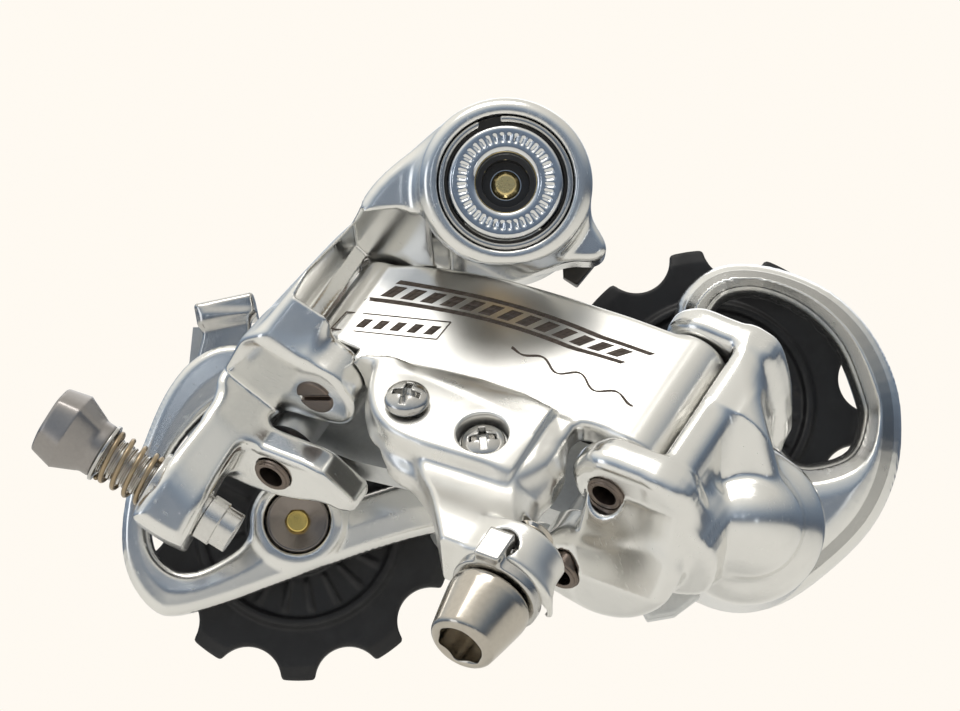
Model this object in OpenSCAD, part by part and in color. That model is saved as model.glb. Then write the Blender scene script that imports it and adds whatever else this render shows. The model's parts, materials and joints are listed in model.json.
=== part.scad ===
// Rear bicycle derailleur, short cage, slant parallelogram, lying relaxed.
// Frame: X forward along the bike, Y inboard (towards the wheel), Z up.
// Origin: hanger-bolt axis at the hanger's outer face.

/* [Hanger bolt] */
// radius of the hanger thread (M10)
hanger_r = 5; // [4.9:0.1:5.1]
// length of thread past the hanger's outer face
hanger_len = 9; // [7:0.5:10]
// outer radius of the upper knuckle housing
knuckle_b_r = 10.8; // [10:0.1:12]
// distance from the hanger face to the bolt head's face
bolt_reach = 24; // [22:0.5:26]

/* [Parallelogram] */
// distance between the two pivots of one link
link_len = 40.4; // [38:0.1:43]
// slant of the pivot pins out of the wheel plane, degrees
slant = 30; // [25:1:35]
// lean of the pins in the wheel plane, degrees
lean = 33; // [28:1:38]
// angle of the links at rest, degrees outboard of the pin plane
fold = 22; // [15:1:28]
// radius of the link barrels
barrel_r = 4.6; // [4.2:0.1:5]
// radius of the pivot pins
pin_r = 2.2; // [2:0.05:2.4]
// running clearance of pins in links
fit = 0.05; // [0.03:0.01:0.1]

/* [Cage and pulleys] */
// distance of the pulley plane inboard of the hanger face
chain_y = 10; // [8:0.5:12]
// inside width of the cage
cage_gap = 7.8; // [7.2:0.1:8.4]
// teeth of each pulley
teeth = 10; // [10:1:11]
// tip radius of the pulleys
tip_r = 19.7; // [19:0.1:21]
// root radius of the pulleys
root_r = 17.2; // [16.5:0.1:18]

/* [Hidden] */
$fn = 96;
e = 0.01;
pin_a = [-24, -14, -26];        // visible end of pin A
off_b = [-3.2, -9.3, 0];        // pin B from pin A, link frame
piv_p = [30, 0, -42];           // cage pivot axis
gp = [26.5, chain_y, -24.5];    // guide pulley centre
tp = [-26.5, chain_y, -40];     // tension pulley centre
plate_o = chain_y - cage_gap / 2;  // inner face of the outer cage plate
plate_i = chain_y + cage_gap / 2;  // inner face of the inner cage plate
adj_o = [-43.3, -12, -37];      // adjuster axis point at the collar
adj_tilt = 122;
clamp_xy = [36.6, 2];           // clamp bolt axis in the link frame
lim_xz = [[14.2, 0.6], [24.9, 0.9]];

alu = [0.82, 0.82, 0.8];
steel = [0.6, 0.6, 0.62];
dark = [0.15, 0.14, 0.14];
gold = [0.8, 0.65, 0.3];

function arc(c, r, a0, a1, n = 8) =
  [for (i = [0:n]) let (a = a0 + (a1 - a0) * i / n) [c[0] + r * cos(a), c[1] + r * sin(a)]];

// link frame: x along the outer link, y outward normal, z along the pins to their visible ends
module lf(o = [0, 0, 0])
  translate(pin_a) rotate([0, lean, 0]) rotate([180 - slant, 0, 0]) rotate([0, 0, fold])
    translate(o) children();
// cylinder along the pins between two heights
module pcyl(x, y, z0, z1, r) lf([x, y, z0]) cylinder(h = z1 - z0, r = r);
// plate lying in the link's own plane, between two outward heights
module pplate(y0, y1, pts) lf([0, y1, 0]) rotate([90, 0, 0]) linear_extrude(y1 - y0) polygon(pts);
// plate across the pins, between two heights along them
module pslab(z0, z1, pts) lf([0, 0, z0]) linear_extrude(z1 - z0) polygon(pts);
// cylinder along Y
module ycyl(x, z, y0, y1, r, r2 = -1)
  translate([x, y0, z]) rotate([-90, 0, 0]) cylinder(h = y1 - y0, r1 = r, r2 = r2 < 0 ? r : r2);
// plate in the wheel plane between two depths
module yplate(y0, y1, pts)
  translate([0, y1, 0]) rotate([90, 0, 0]) linear_extrude(y1 - y0) polygon(pts);
module adj(z = 0) translate(adj_o) rotate([0, adj_tilt, 0]) translate([0, 0, z]) children();

// ---------------------------------------------------------------- hanger side
module hanger_bolt() color(steel) difference() {
  union() {
    ycyl(0, 0, 0, hanger_len, hanger_r);
    ycyl(0, 0, -bolt_reach + 4, 0, 4.2);
    ycyl(0, 0, -bolt_reach, -bolt_reach + 3.6, 7.1);
    ycyl(0, 0, -bolt_reach + 3.6, -bolt_reach + 4.4, 6.2);
    ycyl(0, 0, -0.9, 0, 6.2);
  }
  ycyl(0, 0, -bolt_reach - 1, -bolt_reach + 1.2, 3.75);
  translate([0, -bolt_reach + 1, 0]) rotate([-90, 0, 0]) cylinder(h = 5, r = 2.9, $fn = 6);
  ycyl(0, 0, -bolt_reach + 5, -bolt_reach + 9, 1.9);
}
module bolt_core() color(gold) {
  ycyl(0, -0.0, -bolt_reach + 4.2, -bolt_reach + 8.8, 1.9);
}
module stop_plate() color(dark) {
  difference() {
    union() {
      yplate(-2.4, -0.9, concat(arc([0, 0], 10.2, 20, 330, 30), [[7.4, -9.4], [9.1, -10.4], [11.6, -7.4], [9.6, -4.4]]));
      yplate(-2.4, 3.2, [[8.2, -6.4], [9.4, -5.2], [11.4, -7.4], [9.1, -10.0], [7.6, -8.8]]);
    }
    ycyl(0, 0, -3, 4, 6.25);
  }
}
module b_washer() color(dark) difference() {
  ycyl(0, 0, -bolt_reach + 1.6, -bolt_reach + 2.4, 8.5);
  ycyl(0, 0, -bolt_reach + 1, -bolt_reach + 3, 7.15);
}
module b_circlip() color(steel) difference() {
  ycyl(0, 0, -bolt_reach + 0.7, -bolt_reach + 1.6, 8.5);
  ycyl(0, 0, -bolt_reach, -bolt_reach + 2, 7.5);
  translate([-1.4, -bolt_reach, 6]) cube([2.8, 2, 4]);
}
module b_bush() color(gold) difference() {
  ycyl(0, 0, -bolt_reach + 5, -bolt_reach + 12, 5.4);
  ycyl(0, 0, -bolt_reach + 4, -bolt_reach + 13, 4.25);
}
module b_spring() color(dark) for (i = [0:4])
  translate([0, -10.6 + 1.75 * i, 0]) rotate([-90, 0, 0])
    rotate_extrude() translate([6.6, 0]) circle(r = 0.75, $fn = 24);

// ---------------------------------------------------------------- upper body
arm_pts = [[-7.4, 8.0], [-15.2, 2.4], [-20.2, -4.5], [-30.6, -17.4], [-36.4, -26], [-42.4, -34.6],
  [-45.4, -39.6], [-45.2, -41.6], [-42.2, -44.0], [-40.4, -44.2], [-38.8, -41.6], [-35.4, -35.4],
  [-31, -29.5], [-25, -24], [-17.5, -9.2], [-9.2, -8.6], [-2, -10.6]];
module upper_body() color(alu) difference() {
  union() {
    ycyl(0, 0, -bolt_reach + 0.4, -2.7, knuckle_b_r);
    yplate(-17, -5, arm_pts);
    // lug for the adjusting spring
    yplate(-17, -9, [[6, -8.8], [9, -2], [11.4, -5.4], [12.4, -7.6], [11.2, -8.7], [8.6, -8.6]]);
    // spine behind the link barrels
    pslab(-26, -6, [[-12, -13], [-12, 4], [-10, 5.6], [-5.4, 5.6], [-5.4, -3], [-8, -7], [-8, -13]]);
    // upper ears
    pslab(-26, -21.5, concat([[-12, -12], [-12, 4], [-9, 6]], arc([0, 0], 5.4, 100, -60, 10), arc(off_b, 4.4, -20, -150, 8)));
    // lower ear of pin A
    pslab(-6.1, 0, concat([[-12, -6], [-12, 4], [-9, 5.8]], arc([0, 0], 5.4, 100, -70, 10)));
    // lower ear of pin B with its stop tail
    pslab(1.7, 6.3, concat([[-12, -13], [-12, -2], [-6, -3], [-1, -4.4], [3.4, -6.6], [6.8, -9.6], [7.2, -11.2], [6, -12.2], [3, -12.2]], arc(off_b, 4.3, -50, -120, 6)));
    pslab(-6.1, 6.3, [[-12, -10], [-12, 4], [-9, 5.8], [-6, 4.8], [-6, -2], [-7.8, -6], [-7.8, -10]]);
  }
  // bolt and spring chambers
  ycyl(0, 0, -bolt_reach - 1, -bolt_reach + 4.9, 8.5);
  ycyl(0, 0, -bolt_reach + 4, -2, 5.4);
  ycyl(0, 0, -12, -2, 8.2);
  // room for the outer link
  pcyl(0, 0, -21.5, -6.1, barrel_r + 0.6);
  pslab(-21.5, -6.1, [[-2, 3.6], [-3.6, 3.6], [-5.4, 5.2], [-5.4, 14], [60, 14], [60, -60], [10, -40], [-2, -6.5], [-2, 0]]);
  pslab(-25.4, -21.4, [[5.8, 0.8], [5.8, 14], [40, 14], [40, 0.8]]);
  pslab(-6.2, 12, [[6.2, 14], [60, 14], [60, -60], [19, -30], [7.6, -10], [6.2, -4]]);
  // room for the inner link
  pcyl(off_b[0], off_b[1], -21.5, 1.7, 4.2);
  pslab(-21.5, 1.7, [[-3.2, -6.4], [5, -5.2], [60, 0], [60, -60], [-3.2, -60]]);
  // pin bores
  pcyl(0, 0, -30, 1, 2.6);
  pcyl(off_b[0], off_b[1], -30, 8, pin_r);
  // adjuster bore
  adj(-2) cylinder(h = 16, r = 3.1);
  adj(-3) cylinder(h = 4.8, r = 4.4);
}
module pin_a_() color(dark) difference() {
  pcyl(0, 0, -25.4, 0.1, 2.6);
  lf([0, 0, -0.6]) rotate([0, 0, 25]) translate([-3, -0.45, 0]) cube([6, 0.9, 2]);
}
module hollow_pin(x, y, z0, z1) color(dark) difference() {
  union() {
    pcyl(x, y, z0, z1, pin_r);
    pcyl(x, y, z1 - 0.7, z1 - 0.1, 2.5);
  }
  pcyl(x, y, z1 - 5, z1 + 1, 1.7);
}
module pin_b_() hollow_pin(off_b[0], off_b[1], -25.4, 7.0);

// ---------------------------------------------------------------- cable adjuster
module adjuster_collar() color(steel) difference() {
  adj(-1.1) cylinder(h = 2.9, r = 4.4);
  adj(-2) cylinder(h = 5, r = 2.75);
}
module adjuster_washer() color(steel) difference() {
  adj(-8.35) cylinder(h = 0.5, r = 3.9);
  adj(-9) cylinder(h = 3, r = 2.75);
}
module adjuster_spring() color(gold) for (i = [0:3])
  adj(-7.4 + i * 1.9) rotate_extrude() translate([3.2, 0]) circle(r = 0.32, $fn = 20);
module adjuster_barrel() color(steel) difference() {
  union() {
    adj(-9) cylinder(h = 15.8, r = 2.7);
    adj(6.6) cylinder(h = 2.2, r = 3.0);
    adj(8.8) cylinder(h = 2.2, r = 2.75);
  }
  adj(-10) cylinder(h = 22, r = 0.9);
}
module adjuster_knob() color(steel) difference() {
  union() {
    adj(-16.4) cylinder(h = 3.4, r1 = 4.9, r2 = 5.6, $fn = 6);
    adj(-13.0) cylinder(h = 3.2, r1 = 5.6, r2 = 4.1, $fn = 6);
    adj(-9.9) cylinder(h = 1.5, r = 3.6);
  }
  adj(-17) cylinder(h = 6.5, r = 2.55);
  adj(-11) cylinder(h = 4, r = 0.9);
  adj(-9) cylinder(h = 2, r = 2.7);
}

// ---------------------------------------------------------------- outer link
link_pts = concat([[-3, -6.4], [-3, -21.2], [5.8, -21.2], [6.2, -23], [13.8, -24.6], [27, -25.6], [36, -26.2]],
  [[43, -26.2], [43, -7], [34.6, -7], [33.5, -3.5], [31, 2], [30, 9.6], [16, 10.2], [13.6, 8], [7.4, -3.2], [6.2, -6.4]]);
module outer_link() color(alu) difference() {
  union() {
    pcyl(0, 0, -21.2, -6.4, barrel_r);
    pcyl(link_len, 0, -26.2, -7, barrel_r);
    pplate(1.4, 4.6, link_pts);
    // raised screw block
    pplate(1.2, 6.6, [[8, -2.6], [14, 8.4], [16, 10.2], [30, 10.2], [33, 2], [33, -3], [29, -5], [12, -6]]);
    // top flange and bottom rib of the channel
    pplate(-2.5, 2, [[8.8, -19.5], [8.8, -23.2], [13.8, -24.2], [33, -25.6], [33, -22.5]]);
    // cable arm
    pplate(-1.5, 6.4, [[25, 8], [29.6, 17.2], [31, 18.4], [42.4, 18.4], [43.6, 16.8], [41, 12], [37.2, 7.2], [35.4, 2], [34.5, -1.4], [34.5, -5], [28, -5]]);
    pcyl(clamp_xy[0], clamp_xy[1], 12, 18.4, 5.6);
  }
  pcyl(0, 0, -30, 2, 2.6 + fit);
  pcyl(link_len, 0, -30, 2, pin_r + fit);
  for (q = lim_xz) lf([q[0], 0, q[1]]) rotate([-90, 0, 0]) cylinder(h = 20, r = 1.6);
  lf([lim_xz[1][0], 5.2, lim_xz[1][1]]) rotate([-90, 0, 0]) cylinder(h = 5, r = 3.1);
  pcyl(clamp_xy[0], clamp_xy[1], 8, 20, 2.55);
  // notch for the washer's tab
  lf([clamp_xy[0] - 6.6, clamp_xy[1] + 1.2, 14.6]) rotate([0, 0, 25]) translate([0, 0, 0]) cube([3.2, 6, 5]);
}
module badge() color(dark) pplate(4.6, 4.68, [[6, -12.4], [9.5, -19.6], [36, -21.4], [38.5, -18.4], [33.5, -15.2]]);
module limit_screw(i, y) color(steel) difference() {
  union() {
    lf([lim_xz[i][0], y, lim_xz[i][1]]) rotate([-90, 0, 0]) cylinder(h = 1.7, r = 2.9);
    lf([lim_xz[i][0], 0.2, lim_xz[i][1]]) rotate([-90, 0, 0]) cylinder(h = y, r = 1.55);
  }
  for (t = [20, 110]) lf([lim_xz[i][0], y + 0.6, lim_xz[i][1]]) rotate([-90, 0, 0]) rotate([0, 0, t])
    translate([-1.9, -0.45, 0]) cube([3.8, 0.9, 3]);
}
module limit_screw_high() limit_screw(0, 6.9);
module limit_screw_low() limit_screw(1, 5.4);
module cable_washer() color(steel) difference() {
  union() {
    pcyl(clamp_xy[0], clamp_xy[1], 18.7, 20.3, 5.6);
    lf([clamp_xy[0] - 6.4, clamp_xy[1] + 1.6, 15.4]) rotate([0, 0, 25]) cube([1.6, 4.6, 4.9]);
  }
  pcyl(clamp_xy[0], clamp_xy[1], 14, 22, 2.55);
}
module clamp_bolt() color(steel) difference() {
  union() {
    pcyl(clamp_xy[0], clamp_xy[1], 9, 20.5, 2.5);
    lf([clamp_xy[0], clamp_xy[1], 20.6]) cylinder(h = 8.2, r1 = 5.4, r2 = 4.1);
    lf([clamp_xy[0], clamp_xy[1], 28.8]) cylinder(h = 0.5, r1 = 4.1, r2 = 3.6);
  }
  lf([clamp_xy[0], clamp_xy[1], 24.4]) cylinder(h = 6, r = 2.9, $fn = 6);
}

// ---------------------------------------------------------------- inner link
module inner_link() color([0.5, 0.5, 0.5]) difference() {
  union() {
    pcyl(off_b[0], off_b[1], -12, 1.3, 3.6);
    pcyl(link_len + off_b[0], off_b[1], -14, -2.2, 3.6);
    pplate(off_b[1] - 1.6, off_b[1] + 1.6, [[-3.2, -12], [-3.2, 1.3], [6, 1.3], [30, -2.2], [37.2, -2.2], [37.2, -14]]);
  }
  pcyl(off_b[0], off_b[1], -30, 9, pin_r + fit);
  pcyl(link_len + off_b[0], off_b[1], -30, 9, pin_r + 0.1);
}
module link_spring() color(dark) for (i = [0:4])
  lf([link_len + off_b[0], off_b[1], -16.2 - 1.5 * i]) rotate_extrude() translate([3.2, 0]) circle(r = 0.6, $fn = 20);

// ---------------------------------------------------------------- lower body
module lower_body() color(alu) difference() {
  union() {
    ycyl(piv_p[0], piv_p[2], -20, 2.4, 9.9);
    ycyl(piv_p[0], piv_p[2], -22, -20, 8.4, 9.9);
    translate([30, -18, -42]) sphere(r = 8.4);
    // flank plate joining the ears to the knuckle
    pplate(-9, 3.4, [[45.8, -31], [47.4, -28], [49.6, -24], [54.1, -18.4], [59.4, -12.6], [62, -8], [61, -1], [56, 1.4], [45.8, 1.4]]);
    // spine outside the link barrels
    pslab(-31, -1.8, [[45.8, -13], [45.8, 4.4], [47.6, 4.4], [50, 2.4], [51, -4], [50, -13]]);
    // upper ears
    pslab(-31, -26.5, concat([[50, -13], [50, 2.4], [47.6, 4.4]], arc([link_len, 0], 5.2, 70, 200, 10), arc([link_len + off_b[0], off_b[1]], 4.3, 160, 300, 8)));
    // lower ear of pin C
    pslab(-6.6, -1.8, concat([[51, -9], [51, 2], [48, 4.4]], arc([link_len, 0], 5.4, 80, 230, 12)));
    // lower ear of pin D
    pslab(-1.9, 5.2, concat([[45, -14.4], [50.5, -10], [52, -5.6], [49, -4], [40.6, -4.4]], arc([link_len + off_b[0], off_b[1]], 4.3, 110, 290, 12)));
    pslab(-9.6, -1.8, [[44.5, -13], [44.5, -2], [50, -1], [54, -6], [51, -14]]);
  }
  // spring chamber
  ycyl(piv_p[0], piv_p[2], -13, 3, 6.6);
  // room for the outer link
  pcyl(link_len, 0, -26.5, -6.7, barrel_r + 0.6);
  pslab(-26.5, -6.7, [[link_len, 5.6], [link_len, -5.2], [36, -5.2], [0, -4], [0, 40], [30, 40]]);
  // room for the inner link
  pcyl(link_len + off_b[0], off_b[1], -26.5, -1.9, 4.3);
  pslab(-26.5, -1.9, [[link_len + off_b[0], -13.6], [link_len + off_b[0], -5], [20, 20], [0, 0], [0, -13.6]]);
  pcyl(link_len, 0, -40, 2, pin_r);
  pcyl(link_len + off_b[0], off_b[1], -40, 8, pin_r);
}
module pin_c_() hollow_pin(link_len, 0, -30.4, -1.0);
module pin_d_() hollow_pin(link_len + off_b[0], off_b[1], -30.4, 6.0);
module p_spring() color(dark) for (i = [0:4])
  translate([piv_p[0], -9.4 + 1.9 * i, piv_p[2]]) rotate([-90, 0, 0])
    rotate_extrude() translate([5.6, 0]) circle(r = 0.75, $fn = 24);
module p_bush() color(gold) difference() {
  ycyl(piv_p[0], piv_p[2], -12.9, -11, 6.6);
  ycyl(piv_p[0], piv_p[2], -14, -10, 4.05);
}
module cage_stop() color(steel) {
  yplate(-5, 1.6, [[23.4, -48.4], [20, -49.2], [16.4, -50.4], [18, -53.2], [21.4, -52.6], [24.6, -50.2]]);
}

// ---------------------------------------------------------------- cage
module p_axle() color(steel) {
  ycyl(piv_p[0], piv_p[2], -12.6, plate_o - 0.6, 4.0);
  ycyl(piv_p[0], piv_p[2], 2.75, plate_o - 2.7, 6.0);
}
module p_seal() color(dark) difference() {
  ycyl(piv_p[0], piv_p[2], 2.75, plate_o - 2.7, 9.7);
  ycyl(piv_p[0], piv_p[2], 2, 4, 6.0);
}
loop_o = [[21.4, -15.4], [22.6, -11.2], [25.6, -8], [29.5, -6.9], [35.3, -7.6], [41.6, -10.4], [46.7, -15.4],
  [49.9, -21.9], [50.7, -28.3], [49.8, -34.7], [46.6, -41.1], [40.8, -46.8], [35, -50.6], [29, -51.6],
  [23, -49.4], [17, -43.5], [8, -40.2], [-9.6, -40.4], [-16, -42.6], [-22.3, -45], [-33.8, -49.4], [-42.6, -52.2], [-45.3, -51.4],
  [-47.8, -47.5], [-48.9, -42.4], [-48.2, -36], [-46, -29.6], [-43.5, -23.8], [-40.3, -19.4], [-36.4, -17.4], [-32.4, -17.6],
  [-31.6, -20.6], [-34.4, -23.6], [-38.6, -26.4], [-42.2, -31], [-44.8, -36.4], [-45.4, -40.4], [-44.7, -44.2], [-42.1, -46.4],
  [-38.9, -46.4], [-34.2, -43.6], [-32.5, -41.2], [-32.3, -38.2], [-30.2, -35.2], [-26.5, -34], [-22.8, -35.2], [-20.2, -37.2],
  [-9.6, -34.2], [8, -32.6], [17, -32], [20.4, -27], [20.2, -21]];
loop_w = [[26.9, -13.1], [28.8, -11.5], [32.7, -11.3], [37.8, -13.5], [42.2, -18.0], [44.8, -24.5], [45.1, -27.2],
  [43.8, -30.9], [40.4, -32.4], [37.2, -32.3], [34.9, -29.6], [33.6, -25.7], [31.0, -21.2], [27.8, -17.6], [26.5, -14.9]];
module cage_outer() color(alu) difference() {
  union() {
    yplate(plate_o - 2.2, plate_o, loop_o);
    ycyl(piv_p[0], piv_p[2], plate_o - 2.7, plate_o, 8.6);
    ycyl(tp[0], tp[2], plate_o - 2.6, plate_o, 6.2);
  }
  yplate(plate_o - 4, plate_o + 1, loop_w);
  ycyl(piv_p[0], piv_p[2], plate_o - 4, plate_o - 0.6, 4.0);
  ycyl(gp[0], gp[2], plate_o - 4, plate_o + 1, 2.5);
  ycyl(tp[0], tp[2], plate_o - 4, plate_o + 1, 2.5);
  ycyl(tp[0], tp[2], plate_o - 3, plate_o - 1.2, 4.2);
  ycyl(gp[0], gp[2], plate_o - 3, plate_o - 1.2, 4.2);
}
cage_in = concat(arc([gp[0], gp[2]], 10.5, 130, -62, 14), [[28, -36.5], [20, -41], [8, -41.6], [-9.6, -42.6], [-17, -48]],
  arc([tp[0], tp[2]], 12.4, -50, -172, 10), [[-40.6, -33], [-41.4, -24], [-40.4, -14], [-32.6, -14], [-33.4, -22]],
  arc([tp[0], tp[2]], 12.4, 118, 60, 5), [[-9.6, -32.4], [8, -31.2], [15, -27]]);
module cage_inner() color(steel) difference() {
  yplate(plate_i, plate_i + 1.5, cage_in);
  for (x = [-11, -1.5, 8]) ycyl(x, -37.2 + x * 0.06, plate_i - 1, plate_i + 3, 2.6);
  ycyl(gp[0], gp[2], plate_i - 1, plate_i + 3, 2.5);
  ycyl(tp[0], tp[2], plate_i - 1, plate_i + 3, 2.5);
  for (a = [70, -10, 150]) ycyl(gp[0] + 7 * cos(a), gp[2] + 7 * sin(a), plate_i - 1, plate_i + 3, 1.8);
  for (a = [30, 110, 190, 270]) ycyl(tp[0] + 8.4 * cos(a), tp[2] + 8.4 * sin(a), plate_i - 1, plate_i + 3, 2.2);
}
module chain_tab() color(steel) {
  translate([-40.4, plate_o + 0.4, -14]) rotate([0, -10, 0]) cube([8, cage_gap + 1.1, 1.6]);
}
module pulley_bolt(c) color(dark) difference() {
  union() {
    ycyl(c[0], c[2], plate_o - 2.1, plate_o - 1.2, 4.1);
    ycyl(c[0], c[2], plate_o - 1.2, plate_i + 2.6, 2.45);
  }
  translate([c[0], plate_o - 2.5, c[2]]) rotate([-90, 0, 0]) cylinder(h = 2.2, r = 1.5, $fn = 6);
}
module pulley_bolt_guide() pulley_bolt(gp);
module pulley_bolt_tension() pulley_bolt(tp);
module pulley_nuts() color(steel) for (c = [gp, tp]) difference() {
  ycyl(c[0], c[2], plate_i + 1.55, plate_i + 2.8, 4.2);
  ycyl(c[0], c[2], plate_i + 1, plate_i + 4, 2.45);
}
module bush(c) color(gold) difference() {
  ycyl(c[0], c[2], plate_o + 0.05, plate_i - 0.05, 3.6);
  ycyl(c[0], c[2], plate_o - 1, plate_i + 1, 2.45);
}
module guide_bush() bush(gp);
module tension_bush() bush(tp);
module pulley(c, ph) color(dark) difference() {
  union() {
    ycyl(c[0], c[2], chain_y - 1.15, chain_y + 1.15, tip_r);
    ycyl(c[0], c[2], chain_y - 2.0, chain_y + 2.0, 13.2);
    ycyl(c[0], c[2], chain_y - 2.9, chain_y + 2.9, 6.2);
  }
  for (s = [-1, 1]) difference() {
    ycyl(c[0], c[2], s > 0 ? chain_y + 1.3 : chain_y - 3, s > 0 ? chain_y + 3 : chain_y - 1.3, 12.2);
    ycyl(c[0], c[2], chain_y - 4, chain_y + 4, 6.2);
  }
  for (i = [0:teeth - 1]) ycyl(c[0] + 21.3 * cos(ph + i * 360 / teeth), c[2] + 21.3 * sin(ph + i * 360 / teeth),
    chain_y - 3, chain_y + 3, 21.3 - root_r);
  ycyl(c[0], c[2], chain_y - 4, chain_y + 4, 3.65);
}
module caps(c) color(steel) for (s = [-1, 1]) difference() {
  ycyl(c[0], c[2], chain_y + s * 3.15 - 0.25, chain_y + s * 3.15 + 0.25, 5.8);
  ycyl(c[0], c[2], chain_y - 5, chain_y + 5, 3.7);
}
module guide_pulley() pulley(gp, 9);
module tension_pulley() pulley(tp, 0);
module guide_caps() caps(gp);
module tension_caps() caps(tp);

hanger_bolt();
bolt_core();
stop_plate();
b_washer();
b_circlip();
b_bush();
b_spring();
upper_body();
pin_a_();  // pin_a
pin_b_();  // pin_b
adjuster_collar();
adjuster_washer();
adjuster_spring();
adjuster_barrel();
adjuster_knob();
outer_link();
badge();
limit_screw_high();
limit_screw_low();
cable_washer();
clamp_bolt();
inner_link();
link_spring();
lower_body();
pin_c_();  // pin_c
pin_d_();  // pin_d
p_spring();
p_bush();
cage_stop();
p_axle();
p_seal();
cage_outer();
cage_inner();
chain_tab();
pulley_bolt_guide();
pulley_bolt_tension();
pulley_nuts();
guide_bush();
tension_bush();
guide_pulley();
guide_caps();
tension_pulley();
tension_caps();
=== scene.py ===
import json
import math
import bpy
import numpy as np
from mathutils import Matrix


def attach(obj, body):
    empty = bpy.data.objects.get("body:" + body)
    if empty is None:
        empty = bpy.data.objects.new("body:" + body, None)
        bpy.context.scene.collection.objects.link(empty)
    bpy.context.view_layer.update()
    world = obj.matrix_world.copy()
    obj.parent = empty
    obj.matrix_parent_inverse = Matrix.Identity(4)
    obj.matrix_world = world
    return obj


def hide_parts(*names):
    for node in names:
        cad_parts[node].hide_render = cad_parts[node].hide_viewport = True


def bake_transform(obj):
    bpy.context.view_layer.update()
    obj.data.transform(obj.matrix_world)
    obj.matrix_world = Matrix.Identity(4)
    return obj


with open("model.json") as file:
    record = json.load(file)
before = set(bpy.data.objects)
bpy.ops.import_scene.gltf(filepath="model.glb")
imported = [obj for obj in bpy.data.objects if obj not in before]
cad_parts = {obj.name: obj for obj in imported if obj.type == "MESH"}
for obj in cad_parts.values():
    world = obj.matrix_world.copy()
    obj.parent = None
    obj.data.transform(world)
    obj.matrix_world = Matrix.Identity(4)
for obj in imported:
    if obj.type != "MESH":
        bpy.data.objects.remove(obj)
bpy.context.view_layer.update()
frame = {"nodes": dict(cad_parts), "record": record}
import openvdb
from mathutils import Matrix, Vector

# ------------------------------------------------------------------ frames (millimetres)
LEAN, SLANT, FOLD = 33.0, 30.0, 22.0
LINK = 40.4
PA = np.array([-24.0, -14.0, -26.0])
OB = (-3.2, -9.3)
PP = (30.0, -42.0)
GP = (26.5, -24.5)
TP = (-26.5, -40.0)
CH = 10.0
PO, PI = CH - 3.9, CH + 3.9
ADJ_O = np.array([-43.3, -12.0, -37.0])
CL = (36.6, 2.0)
LIM = ((14.2, 0.6), (24.9, 0.9))


def rot(axis, deg):
    return np.array(Matrix.Rotation(math.radians(deg), 3, axis))


RP = rot("Y", LEAN) @ rot("X", 180 - SLANT) @ rot("Z", FOLD)
RA = rot("Y", 122)
LINKF = (RP, PA)                 # link frame: x along the link, y outward, z along the pins
ADJF = (RA, ADJ_O)               # z along the cable adjuster
KF = (np.eye(3), np.zeros(3))
YF = (np.array([[1, 0, 0], [0, 0, 1], [0, -1, 0]], float), np.zeros(3))   # z along +Y


# ------------------------------------------------------------------ distance fields
def smin(a, b, k):
    h = np.maximum(k - np.abs(a - b), 0) / k
    return np.minimum(a, b) - h * h * (k * 0.25)


def smax(a, b, k):
    return -smin(-a, -b, k)


def ext(d2, w, w0, w1, e=0.4):
    """2D distance d2 swept from w0 to w1, edges rounded by e."""
    a = d2 + e
    b = np.abs(w - (w0 + w1) / 2) - (w1 - w0) / 2 + e
    return np.minimum(np.maximum(a, b), 0) + np.sqrt(np.maximum(a, 0) ** 2 + np.maximum(b, 0) ** 2) - e


def disc(u, v, cu, cv, r):
    return np.sqrt((u - cu) ** 2 + (v - cv) ** 2) - r


def cyl(u, v, w, cu, cv, r, w0, w1, e=0.4):
    return ext(disc(u, v, cu, cv, r), w, w0, w1, e)


def ball(x, y, z, c, r):
    return np.sqrt((x - c[0]) ** 2 + (y - c[1]) ** 2 + (z - c[2]) ** 2) - r


def caps(x, y, z, a, b, r0, r1=None):
    r1 = r0 if r1 is None else r1
    a, b = np.array(a, float), np.array(b, float)
    d = b - a
    t = ((x - a[0]) * d[0] + (y - a[1]) * d[1] + (z - a[2]) * d[2]) / float(d @ d)
    t = np.clip(t, 0, 1)
    q = (x - a[0] - t * d[0]) ** 2 + (y - a[1] - t * d[1]) ** 2 + (z - a[2] - t * d[2]) ** 2
    return np.sqrt(q) - (r0 + (r1 - r0) * t)


def spline(pts, n=6, corner=()):
    """Closed smooth outline through the points; the listed corners stay sharp."""
    p = np.array(pts, float)
    m = len(p)
    out = []
    for i in range(m):
        p0, p1, p2, p3 = p[i - 1], p[i], p[(i + 1) % m], p[(i + 2) % m]
        t1 = np.zeros(2) if i in corner else (p2 - p0) * 0.5
        t2 = np.zeros(2) if (i + 1) % m in corner else (p3 - p1) * 0.5
        if i in corner and (i + 1) % m in corner:
            out.append(p1)
            continue
        if i in corner:
            t1 = (p2 - p1) * 0.6
        if (i + 1) % m in corner:
            t2 = (p2 - p1) * 0.6
        for j in range(n):
            t = j / n
            out.append((2 * t ** 3 - 3 * t ** 2 + 1) * p1 + (t ** 3 - 2 * t ** 2 + t) * t1
                       + (-2 * t ** 3 + 3 * t ** 2) * p2 + (t ** 3 - t ** 2) * t2)
    return np.array(out)


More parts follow.
